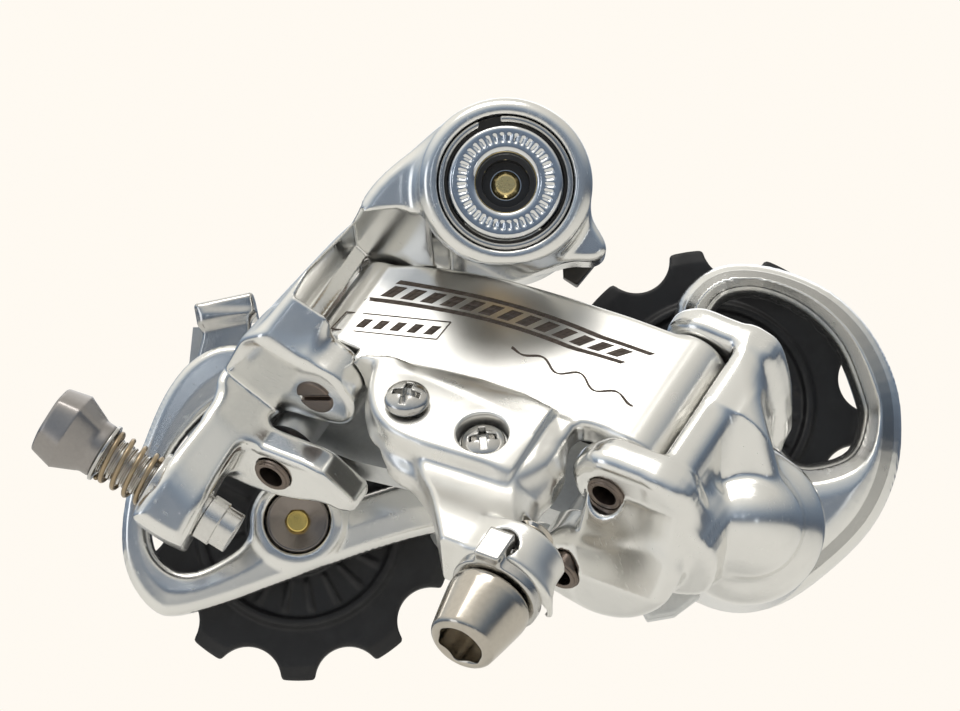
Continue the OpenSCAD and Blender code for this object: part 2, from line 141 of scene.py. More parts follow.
def poly2(pts, u, v):
    """Signed distance to a closed polygon on broadcastable arrays."""
    p = np.array(pts, np.float32)
    d = None
    inside = None
    m = len(p)
    for i in range(m):
        a, b = p[i], p[(i + 1) % m]
        e = b - a
        wx, wy = u - a[0], v - a[1]
        t = np.clip((wx * e[0] + wy * e[1]) / max(float(e @ e), 1e-9), 0, 1)
        q = (wx - e[0] * t) ** 2 + (wy - e[1] * t) ** 2
        d = q if d is None else np.minimum(d, q)
        if a[1] != b[1]:
            c = ((a[1] > v) != (b[1] > v)) & (u < (b[0] - a[0]) * (v - a[1]) / (b[1] - a[1]) + a[0])
            inside = c if inside is None else inside ^ c
    return np.where(inside, -1, 1) * np.sqrt(d)


def poly(pts, u, v):
    """poly2, through a fine lookup table when the arrays are full 3D."""
    if np.broadcast(u, v).size < 400000:
        return poly2(pts, u, v)
    s = 0.15
    u0, u1, v0, v1 = float(u.min()), float(u.max()), float(v.min()), float(v.max())
    nu, nv = int((u1 - u0) / s) + 3, int((v1 - v0) / s) + 3
    tu = (u0 + s * np.arange(nu, dtype=np.float32))[:, None]
    tv = (v0 + s * np.arange(nv, dtype=np.float32))[None, :]
    tab = poly2(pts, tu, tv).astype(np.float32).ravel()
    fu, fv = (u - u0) / s, (v - v0) / s
    iu, iv = fu.astype(np.int32), fv.astype(np.int32)
    fu, fv = fu - iu, fv - iv
    k = iu * nv + iv
    near = tab[k] * (1 - fu) + tab[k + nv] * fu
    far = tab[k + 1] * (1 - fu) + tab[k + nv + 1] * fu
    return near * (1 - fv) + far * fv


def blob(pts, u, v, corner=()):
    """Distance to the smooth outline through the points."""
    return poly(spline(pts, 5, corner), u, v)


class Grid:
    """Regular sampling grid from lo to hi with spacing h."""


    def __init__(self, lo, hi, h):
        self.lo, self.h = np.array(lo, float), h
        self.n = [int(math.ceil((hi[i] - lo[i]) / h)) + 1 for i in range(3)]
        ax = [(lo[i] + h * np.arange(self.n[i])).astype(np.float32) for i in range(3)]
        self.x, self.y, self.z = ax[0][:, None, None], ax[1][None, :, None], ax[2][None, None, :]

    def to(self, fr):
        """This grid's coordinates in another frame."""
        R, o = fr
        d = (self.x - np.float32(o[0]), self.y - np.float32(o[1]), self.z - np.float32(o[2]))
        R = R.astype(np.float32)
        return [d[0] * R[0, i] + d[1] * R[1, i] + d[2] * R[2, i] for i in range(3)]


def sample(a, p):
    """Trilinear value of array a at the points p, in grid steps."""
    n = np.array(a.shape)
    p = np.clip(p, 0, n - 1.001)
    i = p.astype(np.int64)
    f = (p - i).astype(np.float32)
    flat = a.ravel()
    sx, sy = a.shape[1] * a.shape[2], a.shape[2]
    k = i[:, 0] * sx + i[:, 1] * sy + i[:, 2]
    r = 0
    for dx in (0, 1):
        for dy in (0, 1):
            for dz in (0, 1):
                wx = f[:, 0] if dx else 1 - f[:, 0]
                wy = f[:, 1] if dy else 1 - f[:, 1]
                w = wx * wy * (f[:, 2] if dz else 1 - f[:, 2])
                r = r + w * flat[k + dx * sx + dy * sy + dz]
    return r


def link_obj(name, me):
    o = bpy.data.objects.new(name, me)
    bpy.context.scene.collection.objects.link(o)
    return o


def mesh_from(name, verts, faces, normals=None):
    """verts n x 3 in metres, faces a list of index arrays (n x 3 or n x 4)."""
    me = bpy.data.meshes.new(name)
    me.vertices.add(len(verts))
    me.vertices.foreach_set("co", np.ascontiguousarray(verts, np.float32).ravel())
    idx = np.concatenate([f.ravel() for f in faces if len(f)]).astype(np.int32)
    sizes = np.concatenate([np.full(len(f), f.shape[1], np.int32) for f in faces if len(f)])
    starts = np.concatenate([[0], np.cumsum(sizes)[:-1]]).astype(np.int32)
    me.loops.add(len(idx))
    me.loops.foreach_set("vertex_index", idx)
    me.polygons.add(len(sizes))
    me.polygons.foreach_set("loop_start", starts)
    me.polygons.foreach_set("loop_total", sizes)
    me.polygons.foreach_set("use_smooth", np.ones(len(sizes), bool))
    me.update(calc_edges=True)
    me.validate()
    if normals is not None:
        me.normals_split_custom_set_from_vertices(np.ascontiguousarray(normals, np.float32))
    return me


def carve(name, g, d, fr, steps=3):
    """Meshes the zero surface of field d on grid g, whose frame is fr."""
    d = np.ascontiguousarray(np.broadcast_to(d, g.n), np.float32)
    c = 3 * g.h
    vg = openvdb.FloatGrid(c)
    vg.copyFromArray(np.clip(d, -c, c))
    pts, tris, quads = vg.convertToPolygons(isovalue=0.0, adaptivity=0.0)
    p = np.array(pts, np.float64)
    for _ in range(steps):
        v = sample(d, p)
        gr = np.stack([sample(d, p + o) - sample(d, p - o) for o in np.eye(3) * 0.5], 1)
        p -= gr * (v / np.maximum((gr ** 2).sum(1), 1e-3 * g.h ** 2))[:, None].clip(-1, 1)
    gr = np.stack([sample(d, p + o) - sample(d, p - o) for o in np.eye(3) * 0.8], 1)
    nrm = gr / np.maximum(np.linalg.norm(gr, axis=1), 1e-6)[:, None]
    R, o = fr
    w = (g.lo + g.h * p) @ R.T + o
    nrm = nrm @ R.T
    tris, quads = np.array(tris).reshape(-1, 3), np.array(quads).reshape(-1, 4)
    # outward winding
    q = quads[: 4000] if len(quads) else tris[: 4000]
    fn = np.cross(w[q[:, 1]] - w[q[:, 0]], w[q[:, 2]] - w[q[:, 0]])
    if (fn * nrm[q[:, 0]]).sum() < 0:
        tris, quads = tris[:, ::-1], quads[:, ::-1]
    return link_obj(name, mesh_from(name, w * 0.001, [tris, quads], nrm))


def put(obj, mat, body, *nodes, slot=None):
    """Gives a piece its look, body and CAD nodes; the slot argument is not used."""
    obj.data.materials.clear()
    obj.data.materials.append(mat)
    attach(obj, body)
    if nodes:
        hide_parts(*nodes)
    return obj


# ------------------------------------------------------------------ materials
SLOT_NAME = {}      # material: the name it was made with


class Mat:
    """Small helper around one procedural material."""

    def __init__(self, name, color, metallic, rough):
        self.m = bpy.data.materials.new(name)
        SLOT_NAME[self.m] = name
        self.m.use_nodes = True
        self.t = self.m.node_tree
        self.b = self.t.nodes["Principled BSDF"]
        self.b.inputs["Metallic"].default_value = metallic
        self.b.inputs["Base Color"].default_value = (*color, 1)
        self.b.inputs["Roughness"].default_value = rough
        self.color = color
        self.tc = self.t.nodes.new("ShaderNodeTexCoord").outputs["Object"]

    def node(self, kind, **kw):
        n = self.t.nodes.new(kind)
        for k, v in kw.items():
            if k in n.inputs:
                n.inputs[k].default_value = v
            else:
                setattr(n, k, v)
        return n

    def wire(self, a, b):
        self.t.links.new(a, b)

    def coords(self, scale=(1, 1, 1), rot=(0, 0, 0)):
        n = self.node("ShaderNodeMapping")
        n.inputs["Scale"].default_value = scale
        n.inputs["Rotation"].default_value = rot
        self.wire(self.tc, n.inputs["Vector"])
        return n.outputs["Vector"]

    def noise(self, scale, detail=4, rough=0.6, vec=None):
        n = self.node("ShaderNodeTexNoise", Scale=scale, Detail=detail, Roughness=rough)
        self.wire(vec or self.tc, n.inputs["Vector"])
        return n.outputs["Fac"]

    def span(self, v, a, b, c, d):
        n = self.node("ShaderNodeMapRange")
        for k, x in zip(("From Min", "From Max", "To Min", "To Max"), (a, b, c, d)):
            n.inputs[k].default_value = x
        self.wire(v, n.inputs["Value"])
        return n.outputs["Result"]

    def math(self, op, a, b):
        n = self.node("ShaderNodeMath", operation=op)
        for i, x in enumerate((a, b)):
            if isinstance(x, (int, float)):
                n.inputs[i].default_value = x
            else:
                self.wire(x, n.inputs[i])
        return n.outputs[0]

    def mix(self, fac, c0, c1):
        n = self.node("ShaderNodeMix", data_type="RGBA")
        self.wire(fac, n.inputs[0])
        for i, c in ((6, c0), (7, c1)):
            if isinstance(c, tuple):
                n.inputs[i].default_value = (*c, 1)
            else:
                self.wire(c, n.inputs[i])
        return n.outputs[2]

    def base(self, out):
        self.wire(out, self.b.inputs["Base Color"])

    def rough(self, out):
        self.wire(out, self.b.inputs["Roughness"])

    def bump(self, height, strength, dist=0.0001):
        n = self.node("ShaderNodeBump", Strength=strength, Distance=dist)
        self.wire(height, n.inputs["Height"])
        last = self.b.inputs["Normal"]
        if last.is_linked:
            self.wire(last.links[0].from_socket, n.inputs["Normal"])
        self.wire(n.outputs["Normal"], last)


def scratches(m, scale=900, stretch=(1, 14, 1), rot=(0.3, 0.5, 0.8)):
    v = m.coords(stretch, rot)
    return m.noise(scale, 2, 0.5, v)


def polished(name, color, r0=0.2, r1=0.28):
    m = Mat(name, color, 1.0, r0)
    big = m.noise(90, 3)
    fine = scratches(m)
    m.rough(m.math("ADD", m.span(big, 0.35, 0.7, r0, r1), m.span(fine, 0.62, 0.75, 0.0, 0.1)))
    m.base(m.mix(m.span(m.noise(260, 5), 0.5, 0.75, 0, 1), color, tuple(c * 0.95 for c in color)))
    m.bump(fine, 0.02)
    m.bump(m.noise(700, 3), 0.012)
    return m.m


def metal(name, color, r0=0.25, r1=0.4, dark=0.93, grain=1500):
    m = Mat(name, color, 1.0, r0)
    n = m.noise(grain, 4)
    m.rough(m.span(m.noise(200, 4), 0.3, 0.7, r0, r1))
    m.base(m.mix(m.span(n, 0.4, 0.7, 0, 1), color, tuple(c * dark for c in color)))
    m.bump(n, 0.05)
    return m.m


def plastic(name, color, rough=0.5):
    m = Mat(name, color, 0.0, rough)
    n = m.noise(1200, 4)
    m.rough(m.span(m.noise(160, 4), 0.3, 0.7, rough - 0.12, rough + 0.15))
    m.base(m.mix(m.span(m.noise(300, 5), 0.45, 0.75, 0, 1), color, tuple(c * 1.5 + 0.004 for c in color)))
    m.bump(n, 0.08)
    return m.m


ALU = polished("polished_aluminium", (0.85, 0.845, 0.825), 0.17, 0.24)
LINK_ALU = polished("polished_link", (0.85, 0.84, 0.81), 0.27, 0.36)
SATIN = metal("satin_aluminium", (0.66, 0.67, 0.67), 0.3, 0.45)
TURNED = metal("machined_aluminium", (0.74, 0.73, 0.71), 0.2, 0.32)
KNOB = metal("knob_alloy", (0.36, 0.34, 0.33), 0.28, 0.4)
CHROME = polished("polished_bolt", (0.8, 0.81, 0.82), 0.06, 0.14)
CLAMP = metal("clamp_steel", (0.56, 0.52, 0.46), 0.14, 0.24)
STEEL = metal("screw_steel", (0.6, 0.59, 0.57), 0.12, 0.26)
PIN = metal("pin_steel", (0.22, 0.18, 0.155), 0.25, 0.4)
BLACK = metal("black_steel", (0.07, 0.065, 0.06), 0.3, 0.5)
SPRING = metal("spring_steel", (0.17, 0.16, 0.15), 0.25, 0.4)
BRONZE_W = metal("bronze_spring", (0.42, 0.33, 0.22), 0.25, 0.4)
CAP = metal("cap_steel", (0.64, 0.64, 0.62), 0.22, 0.35)
BRASS = metal("brass", (0.83, 0.66, 0.32), 0.2, 0.35)
BRONZE = metal("bronze", (0.55, 0.4, 0.22), 0.3, 0.45)
GOLD = metal("gold_bolt", (0.9, 0.68, 0.22), 0.2, 0.32)
DISC = metal("bolt_disc", (0.26, 0.23, 0.21), 0.16, 0.28)
# painted shade: near-black material for the fill that darkens the hanger bolt's socket recess
SOCKET_SHADE = plastic("socket_painted_shade", (0.016, 0.016, 0.018), 0.4)
SEAL = plastic("seal_plastic", (0.16, 0.11, 0.09), 0.45)
NYLON = plastic("pulley_plastic", (0.009, 0.009, 0.011), 0.5)
INK = plastic("badge_ink", (0.1, 0.075, 0.06), 0.4)
by_slot = {name: m for m, name in SLOT_NAME.items()}
slot_of = {s["node"]: s["material_slot"] for s in frame["record"]["subparts"]}
for name, o in frame["nodes"].items():
    o.data.materials.clear()
    o.data.materials.append(by_slot[slot_of[name]])


# ------------------------------------------------------------------ camera, light, floor
def look(obj, target):
    obj.rotation_euler = (Vector(target) - obj.location).to_track_quat("-Z", "Y").to_euler()


cam = bpy.data.objects.new("camera", bpy.data.cameras.new("camera"))
bpy.context.scene.collection.objects.link(cam)
bpy.context.scene.camera = cam
TGT = Vector((-0.0032, -0.010, -0.0202))
EL = math.radians(-6)
cam.location = TGT - Vector((0, math.cos(EL), -math.sin(EL))) * 0.8
cam.data.lens = 238.5
cam.data.sensor_width = 36
look(cam, TGT)


def lamp(name, loc, target, size, power, color=(1, 1, 1), size_y=None):
    l = bpy.data.lights.new(name, "AREA")
    l.energy, l.size, l.color = power, size, color
    if size_y:
        l.shape, l.size_y = "RECTANGLE", size_y
    o = bpy.data.objects.new(name, l)
    bpy.context.scene.collection.objects.link(o)
    o.location = loc
    look(o, target)
    return o


lamp("key_top", (-0.10, -0.28, 0.60), TGT, 0.42, 1.1, (1, 0.98, 0.95), 0.26)
lamp("front_left", (-0.75, -0.55, 0.10), TGT, 0.35, 0.45, (0.97, 0.98, 1))
lamp("small_a", (0.22, -0.75, -0.02), TGT, 0.05, 0.02, (0.9, 0.95, 1))
lamp("small_b", (-0.12, -0.8, 0.12), TGT, 0.04, 0.014, (0.9, 0.95, 1))
lamp("back", (0.1, 0.8, 0.5), TGT, 0.7, 1.2)

world = bpy.data.worlds.new("world")
bpy.context.scene.world = world
world.use_nodes = True
wt = world.node_tree
wt.nodes.clear()
new, wire = wt.nodes.new, wt.links.new
out = new("ShaderNodeOutputWorld")
cam_bg = new("ShaderNodeBackground")
cam_bg.inputs["Color"].default_value = (1.0, 0.955, 0.885, 1)
cam_bg.inputs["Strength"].default_value = 1.0
env_bg = new("ShaderNodeBackground")
mixs = new("ShaderNodeMixShader")
path = new("ShaderNodeLightPath")
geo = new("ShaderNodeTexCoord")
sep = new("ShaderNodeSeparateXYZ")
ramp = new("ShaderNodeValToRGB")
mr = new("ShaderNodeMapRange")
mr.inputs["From Min"].default_value = -1
mr.inputs["From Max"].default_value = 1
wire(geo.outputs["Generated"], sep.inputs[0])
wire(sep.outputs["Z"], mr.inputs["Value"])
wire(mr.outputs["Result"], ramp.inputs["Fac"])
el = ramp.color_ramp.elements
el[0].position, el[0].color = 0.0, (0.80, 0.75, 0.67, 1)
el[1].position, el[1].color = 1.0, (0.86, 0.84, 0.78, 1)
for p, c in ((0.30, (0.74, 0.71, 0.66, 1)), (0.43, (0.22, 0.24, 0.27, 1)), (0.53, (0.12, 0.15, 0.20, 1)),
             (0.64, (0.24, 0.30, 0.38, 1)), (0.76, (0.62, 0.64, 0.64, 1)), (0.86, (0.84, 0.82, 0.76, 1))):
    x = el.new(p)
    x.color = c
side = new("ShaderNodeMapRange")
for k, v in (("From Min", -1), ("From Max", 1), ("To Min", 1.25), ("To Max", 0.7)):
    side.inputs[k].default_value = v
wire(sep.outputs["X"], side.inputs["Value"])
wire(side.outputs["Result"], env_bg.inputs["Strength"])
wire(ramp.outputs["Color"], env_bg.inputs["Color"])
wire(path.outputs["Is Camera Ray"], mixs.inputs["Fac"])
wire(env_bg.outputs[0], mixs.inputs[1])
wire(cam_bg.outputs[0], mixs.inputs[2])
wire(mixs.outputs[0], out.inputs["Surface"])

floor_me = bpy.data.meshes.new("floor")
floor_me.from_pydata([(-3, -3, -0.115), (3, -3, -0.115), (3, 3, -0.115), (-3, 3, -0.115)], [], [(0, 1, 2, 3)])
floor = link_obj("floor", floor_me)
fm = Mat("floor", (0.9, 0.88, 0.84), 0.0, 0.6)
fm.base(fm.mix(fm.span(fm.noise(12, 4), 0.4, 0.7, 0, 1), (0.9, 0.88, 0.84), (0.86, 0.84, 0.8)))
floor.data.materials.append(fm.m)
bpy.context.scene.view_settings.view_transform = "Standard"
bpy.context.scene.view_settings.exposure = 0.0


# ------------------------------------------------------------------ forged pieces
def step01(t):
    t = np.clip(t, 0, 1)
    return t * t * (3 - 2 * t)


def edge2(a, b, e):
    """Intersection of two distances with a rounded edge."""
    a, b = a + e, b + e
    return np.minimum(np.maximum(a, b), 0) + np.sqrt(np.maximum(a, 0) ** 2 + np.maximum(b, 0) ** 2) - e


def plate_y(x, z):
    """Outward height of the link's polished face."""
    return 4.6 + 0.6 * (1 - step01((z + 24.5) / 20)) * step01((x + 5) / 9) * (1 - step01((x - 30) / 12))


def lip_z(x):
    return np.interp(x, [0, 8.4, 14, 20, 26, 31, 50], [-3, -6.0, -7.2, -8.0, -8.0, -7.2, -6])


EAR_B = [(-12.4, -12.6), (-12.0, -3.4), (-7.6, -3.0), (-2.4, -3.9), (1.2, -4.8), (4.4, -6.8), (8.2, -9.8),
        (8.0, -11.6), (6.2, -12.4), (3.4, -12.2), (-0.4, -13.4), (-5.0, -14.2), (-9, -14)]


def make_outer_link():
    g = Grid((-5.6, -6.4, -27.4), (46.6, 8.6, 19.6), 0.28)
    x, y, z = g.x, g.y, g.z
    xf, zf = x[:, 0, :], z[0, 0, :][None, :]
    lip = lip_z(xf)
    dep = 1.5 * step01((xf - 8.5) / 4) * (1 - step01((xf - 21) / 10))
    yp = plate_y(xf, zf)
    yb = 6.45 - dep * np.exp(-np.maximum(zf - lip, 0) / 2.6) - 0.5 * step01((xf - 24) / 8)
    t = step01((zf - lip) / 0.7)
    yb = np.where(xf > 31, np.minimum(yb, yp + 0.2), yb)
    h = (yp * (1 - t) + yb * t)[:, None, :].astype(np.float32)
    face = (y - h) * 0.93
    plate = blob([(-0.5, -4.8), (-0.5, -20.4), (5.6, -22.6), (13.8, -24.3), (22, -25.0), (30, -25.3),
            (41, -25.7), (41, -7.0), (34.6, -6.9), (33.6, -3.5), (31.5, -1.5), (24, -3), (14, -4),
            (8, -3.5)], x, z, (0, 1, 6, 7))
    d = edge2(edge2(plate, face, 1.0), 1.2 - y, 0.4)
    for cx, z0, z1 in ((0.0, -21.0, -6.5), (LINK, -26.1, -7.05)):
        d = smin(d, cyl(x, y, z, cx, 0.0, 4.6, z0, z1, 0.7), 0.5)
    flange = poly([(6, -19.5), (6, -22.6), (13.8, -24.0), (34, -25.0), (34, -21.5)], x, z)
    d = smin(d, edge2(edge2(flange, y - 3, 0.4), -2.4 - y, 0.4), 0.8)
    # screw block
    block = blob([(7.2, -5.6), (7.6, -1.6), (9.8, 2.4), (12.8, 4.9), (16.2, 5.9), (22, 5.7), (27.6, 5.2),
            (31, 4.6), (33.2, 1.0), (33.4, -3.5), (30, -7), (20, -7.6), (12, -7)], x, z)
    d = smin(d, edge2(edge2(block, face, 1.1), 0.4 - y, 0.8), 0.5)
    skirt = blob([(6.1, -7), (6.3, -3.6), (8.0, 0.4), (12.4, 5.6), (18, 8.2), (26, 7), (26, -6), (12, -8)],
            x, z)
    d = smin(d, edge2(edge2(skirt, y - 2.6, 1.2), -0.6 - y, 0.6), 1.8)
    # cable arm
    zr = z[0, 0, :]
    xr = np.interp(zr, [-5, -2, 0.7, 4.7, 9.2, 13, 16.3, 19.5],
            [34.3, 34.4, 35.0, 34.2, 36.3, 39.0, 41.0, 43.0]).astype(np.float32)
    ha = (4.3 + 2.3 * step01((zr - 6) / 9)).astype(np.float32)[None, None, :]
    cham = np.maximum(0, 2.6 - (xr[None, None, :] - x) * 0.88) * 0.95
    arm = blob([(18.4, 4), (20.0, 8.2), (23.3, 11.6), (25.8, 14.9), (28.4, 18.4), (43.2, 18.4),
            (43.0, 17.6), (40.4, 14.4), (36.8, 9.6), (34.6, 5.4), (35.0, 1.6), (34.2, -2.4), (30, -4.4),
            (22, -2)], x, z, (4, 5))
    a = edge2(edge2(arm, (y - ha + cham) * 0.8, 0.8), -1.6 - y, 1.0)
    a = smin(a, cyl(x, y, z, CL[0], CL[1], 5.75, 12.5, 18.4, 0.5), 1.6)
    d = smin(d, a, 2.2)
    # polished hollow between the block, the plate and the arm
    d = smax(d, -caps(x, y, z, (35.6, 10.4, -3.6), (32.6, 10.6, 7.2), 5.6, 5.0), 1.6)
    # bores and recesses
    d = np.maximum(d, -disc(x, y, 0, 0, 2.66))
    d = np.maximum(d, -disc(x, y, LINK, 0, 2.26))
    d = smax(d, -cyl(x, z, y, LIM[0][0], LIM[0][1], 1.62, 0, 12, 0.1), 0.1)
    d = smax(d, -cyl(x, z, y, LIM[1][0], LIM[1][1], 3.2, 3.9, 12, 0.1), 0.35)
    d = smax(d, -cyl(x, z, y, LIM[1][0], LIM[1][1], 1.62, 0, 12, 0.1), 0.1)
    d = np.maximum(d, -cyl(x, y, z, CL[0], CL[1], 2.6, 8, 22, 0.1))
    # half-round notch for the washer's tab
    d = smax(d, -caps(x, y, z, (CL[0] - 0.6, 5.6, 16.6), (CL[0] - 0.9, 10.6, 16.6), 2.2), 0.35)
    # nothing enters the room of the ears
    d = np.maximum(d, -cyl(x, y, z, 0, 0, 5.65, -6.35, 4, 0.1))
    d = np.maximum(d, -cyl(x, y, z, LINK, 0, 5.65, -6.95, 2, 0.1))
    # the lower ear sweeps past the block's back as the link swings
    xs, ys = x[:, :, 0], y[:, :, 0]
    sweep = None
    for k in range(12):
        t = math.radians(5.3 * k)
        q = poly2(EAR_B, xs * math.cos(t) + ys * math.sin(t), -xs * math.sin(t) + ys * math.cos(t)) - 0.35
        sweep = q if sweep is None else np.minimum(sweep, q)
    d = smax(d, -np.maximum(sweep.astype(np.float32)[:, :, None], np.abs(z - 4.0) - 2.7), 0.3)
    return carve("outer_link_v", g, d, LINKF)


put(make_outer_link(), LINK_ALU, "outer", "outer_link", slot="polished_aluminium")


def slab(p, z, z0, z1, e):
    return edge2(p, np.abs(z - (z0 + z1) / 2) - (z1 - z0) / 2, e)


def make_upper_body():
    g = Grid((-48.6, -24.6, -46.6), (14.2, -1.6, 11.8), 0.34)
    x, y, z = g.x, g.y, g.z
    u, v, w = g.to(LINKF)
    hz = edge2(disc(x, z, 0, 0, 10.8), -23.6 - y, 1.5)
    hz = edge2(hz, y + 2.7, 0.6)
    out = spline([(-5, 10.0), (-15.0, 2.5), (-20.3, -4.4), (-30.7, -17.3), (-36.4, -26), (-42.4, -34.6),
            (-46.2, -40.2), (-45.6, -41.8), (-41.2, -44.4), (-39.6, -43.6), (-35.2, -35.0), (-31.4, -29.4),
            (-24, -22), (-17.5, -9.4), (-9, -8.8), (-2, -9)], 5, (0, 15))
    p2 = poly(out, x, z)
    # front face: level at the knuckle, swelling towards the ears, dished on the lower arm
    s = (-x - z) * 0.7071
    front = -16.2 - 1.4 * step01((s - 14) / 8) + 0.5 * step01((s - 40) / 12)
    arm = edge2(edge2(p2, (front - y), 1.5), y + 5.2, 1.0)
    lug = slab(blob([(4, -9), (8, 0), (11.4, -4.6), (12.6, -7.4), (11.4, -8.9), (8.6, -9)], x, z), y, -16.5,
            -9, 0.8)
    d = smin(hz, arm, 2.6)
    d = smin(d, lug, 1.0)
    # masses around the pins, in the link frame
    sp = blob([(-12.2, -12.6), (-12.2, 2.6), (-9.4, 5.6), (-5.6, 5.7), (-5.45, -2.6), (-8, -7),
            (-8, -12.6)], u, v, (0, 3, 4, 6))
    m = slab(sp, w, -26, -5, 1.2)
    m = smin(m, slab(blob([(-12, -12), (-12, 3.5), (-8, 5.4), (0, 5.3), (4.6, 2.6), (5.2, -1.6), (2, -7),
            (-1, -12.6), (-6, -13.4)], u, v), w, -26, -21.5, 1.2), 0.6)
    ea = blob([(-13, -6), (-13, 3.4), (-9, 5.8), (-3, 5.2), (1.8, 5.2), (4.9, 2.4), (5.4, -1.2),
            (3.8, -4.0), (0, -5.0), (-5, -5.4)], u, v)
    m = smin(m, slab(ea, w, -6.15, 0.0, 1.15), 1.0)
    eb = blob(EAR_B, u, v, (6, 8))
    m = smin(m, slab(eb, w, 1.75, 6.3, 0.9), 0.6)
    ms = blob([(-13, -11), (-13, 3.6), (-9, 5.8), (-6.4, 4.6), (-6.2, -2), (-7.6, -6), (-7.6, -11)], u, v)
    m = smin(m, slab(ms, w, -7, 2.6, 2.4), 1.8)
    m = smax(m, -((x + 7.4) * 0.757 - (z - 10.9) * 0.653) - 0.1, 1.2)
    d = smin(d, m, 2.4)
    # the upper ear's face runs level to the left edge
    ef = poly([(-18, 2.6), (-10.3, -2.4), (-4.9, -5.6), (3, -5.8), (6.6, -4), (6.6, 16), (-18, 16)], u, v)
    d = smax(d, -np.maximum(ef, -w), 1.3)
    # bolt, bush and spring chambers
    d = smax(d, -cyl(x, z, y, 0, 0, 8.55, -30, -19.1, 0.2), 0.35)
    d = np.maximum(d, -cyl(x, z, y, 0, 0, 5.4, -20, -1, 0.1))
    d = np.maximum(d, -cyl(x, z, y, 0, 0, 8.2, -12, 0, 0.1))
    # room for both links
    d = smax(d, -cyl(u, v, w, 0, 0, 5.2, -21.4, -6.2, 0.2), 0.25)
    d = smax(d, -slab(poly([(-2, 3.8), (-3.7, 3.8), (-5.35, 5.0), (-5.35, 15), (60, 15), (60, -60),
            (10, -40), (-2, -6.5), (-2, 0)], u, v), w, -21.4, -6.2, 0.2), 0.25)
    d = smax(d, -slab(poly([(5.9, 0.8), (5.9, 15), (42, 15), (42, 0.8)], u, v), w, -25.6, -21.2, 0.2), 0.25)
    d = smax(d, -slab(poly([(6.3, 15), (60, 15), (60, -60), (19, -30), (8.6, -11.2), (6.3, -4)], u, v), w,
            -6.3, 12, 0.2), 0.25)
    d = smax(d, -cyl(u, v, w, OB[0], OB[1], 4.2, -21.4, 1.7, 0.2), 0.25)
    d = smax(d, -slab(poly([(-3.2, -6.4), (5, -5.2), (60, 0), (60, -60), (-3.2, -60)], u, v), w, -21.4, 1.7,
            0.2), 0.25)
    d = smax(d, -cyl(u, v, w, 0, 0, 2.12, -1.4, 3, 0.1), 0.2)
    d = np.maximum(d, -cyl(u, v, w, 0, 0, 2.62, -8, -1.2, 0.1))
    d = smax(d, -cyl(u, v, w, OB[0], OB[1], 2.3, -8, 9, 0.1), 0.3)
    # seat of the adjuster
    a, b, c = g.to(ADJF)
    d = np.maximum(d, -cyl(a, b, c, 0, 0, 4.45, -6, 1.78, 0.1))
    d = np.maximum(d, -cyl(a, b, c, 0, 0, 3.1, 0, 16, 0.1))
    return carve("upper_body_v", g, d, KF)


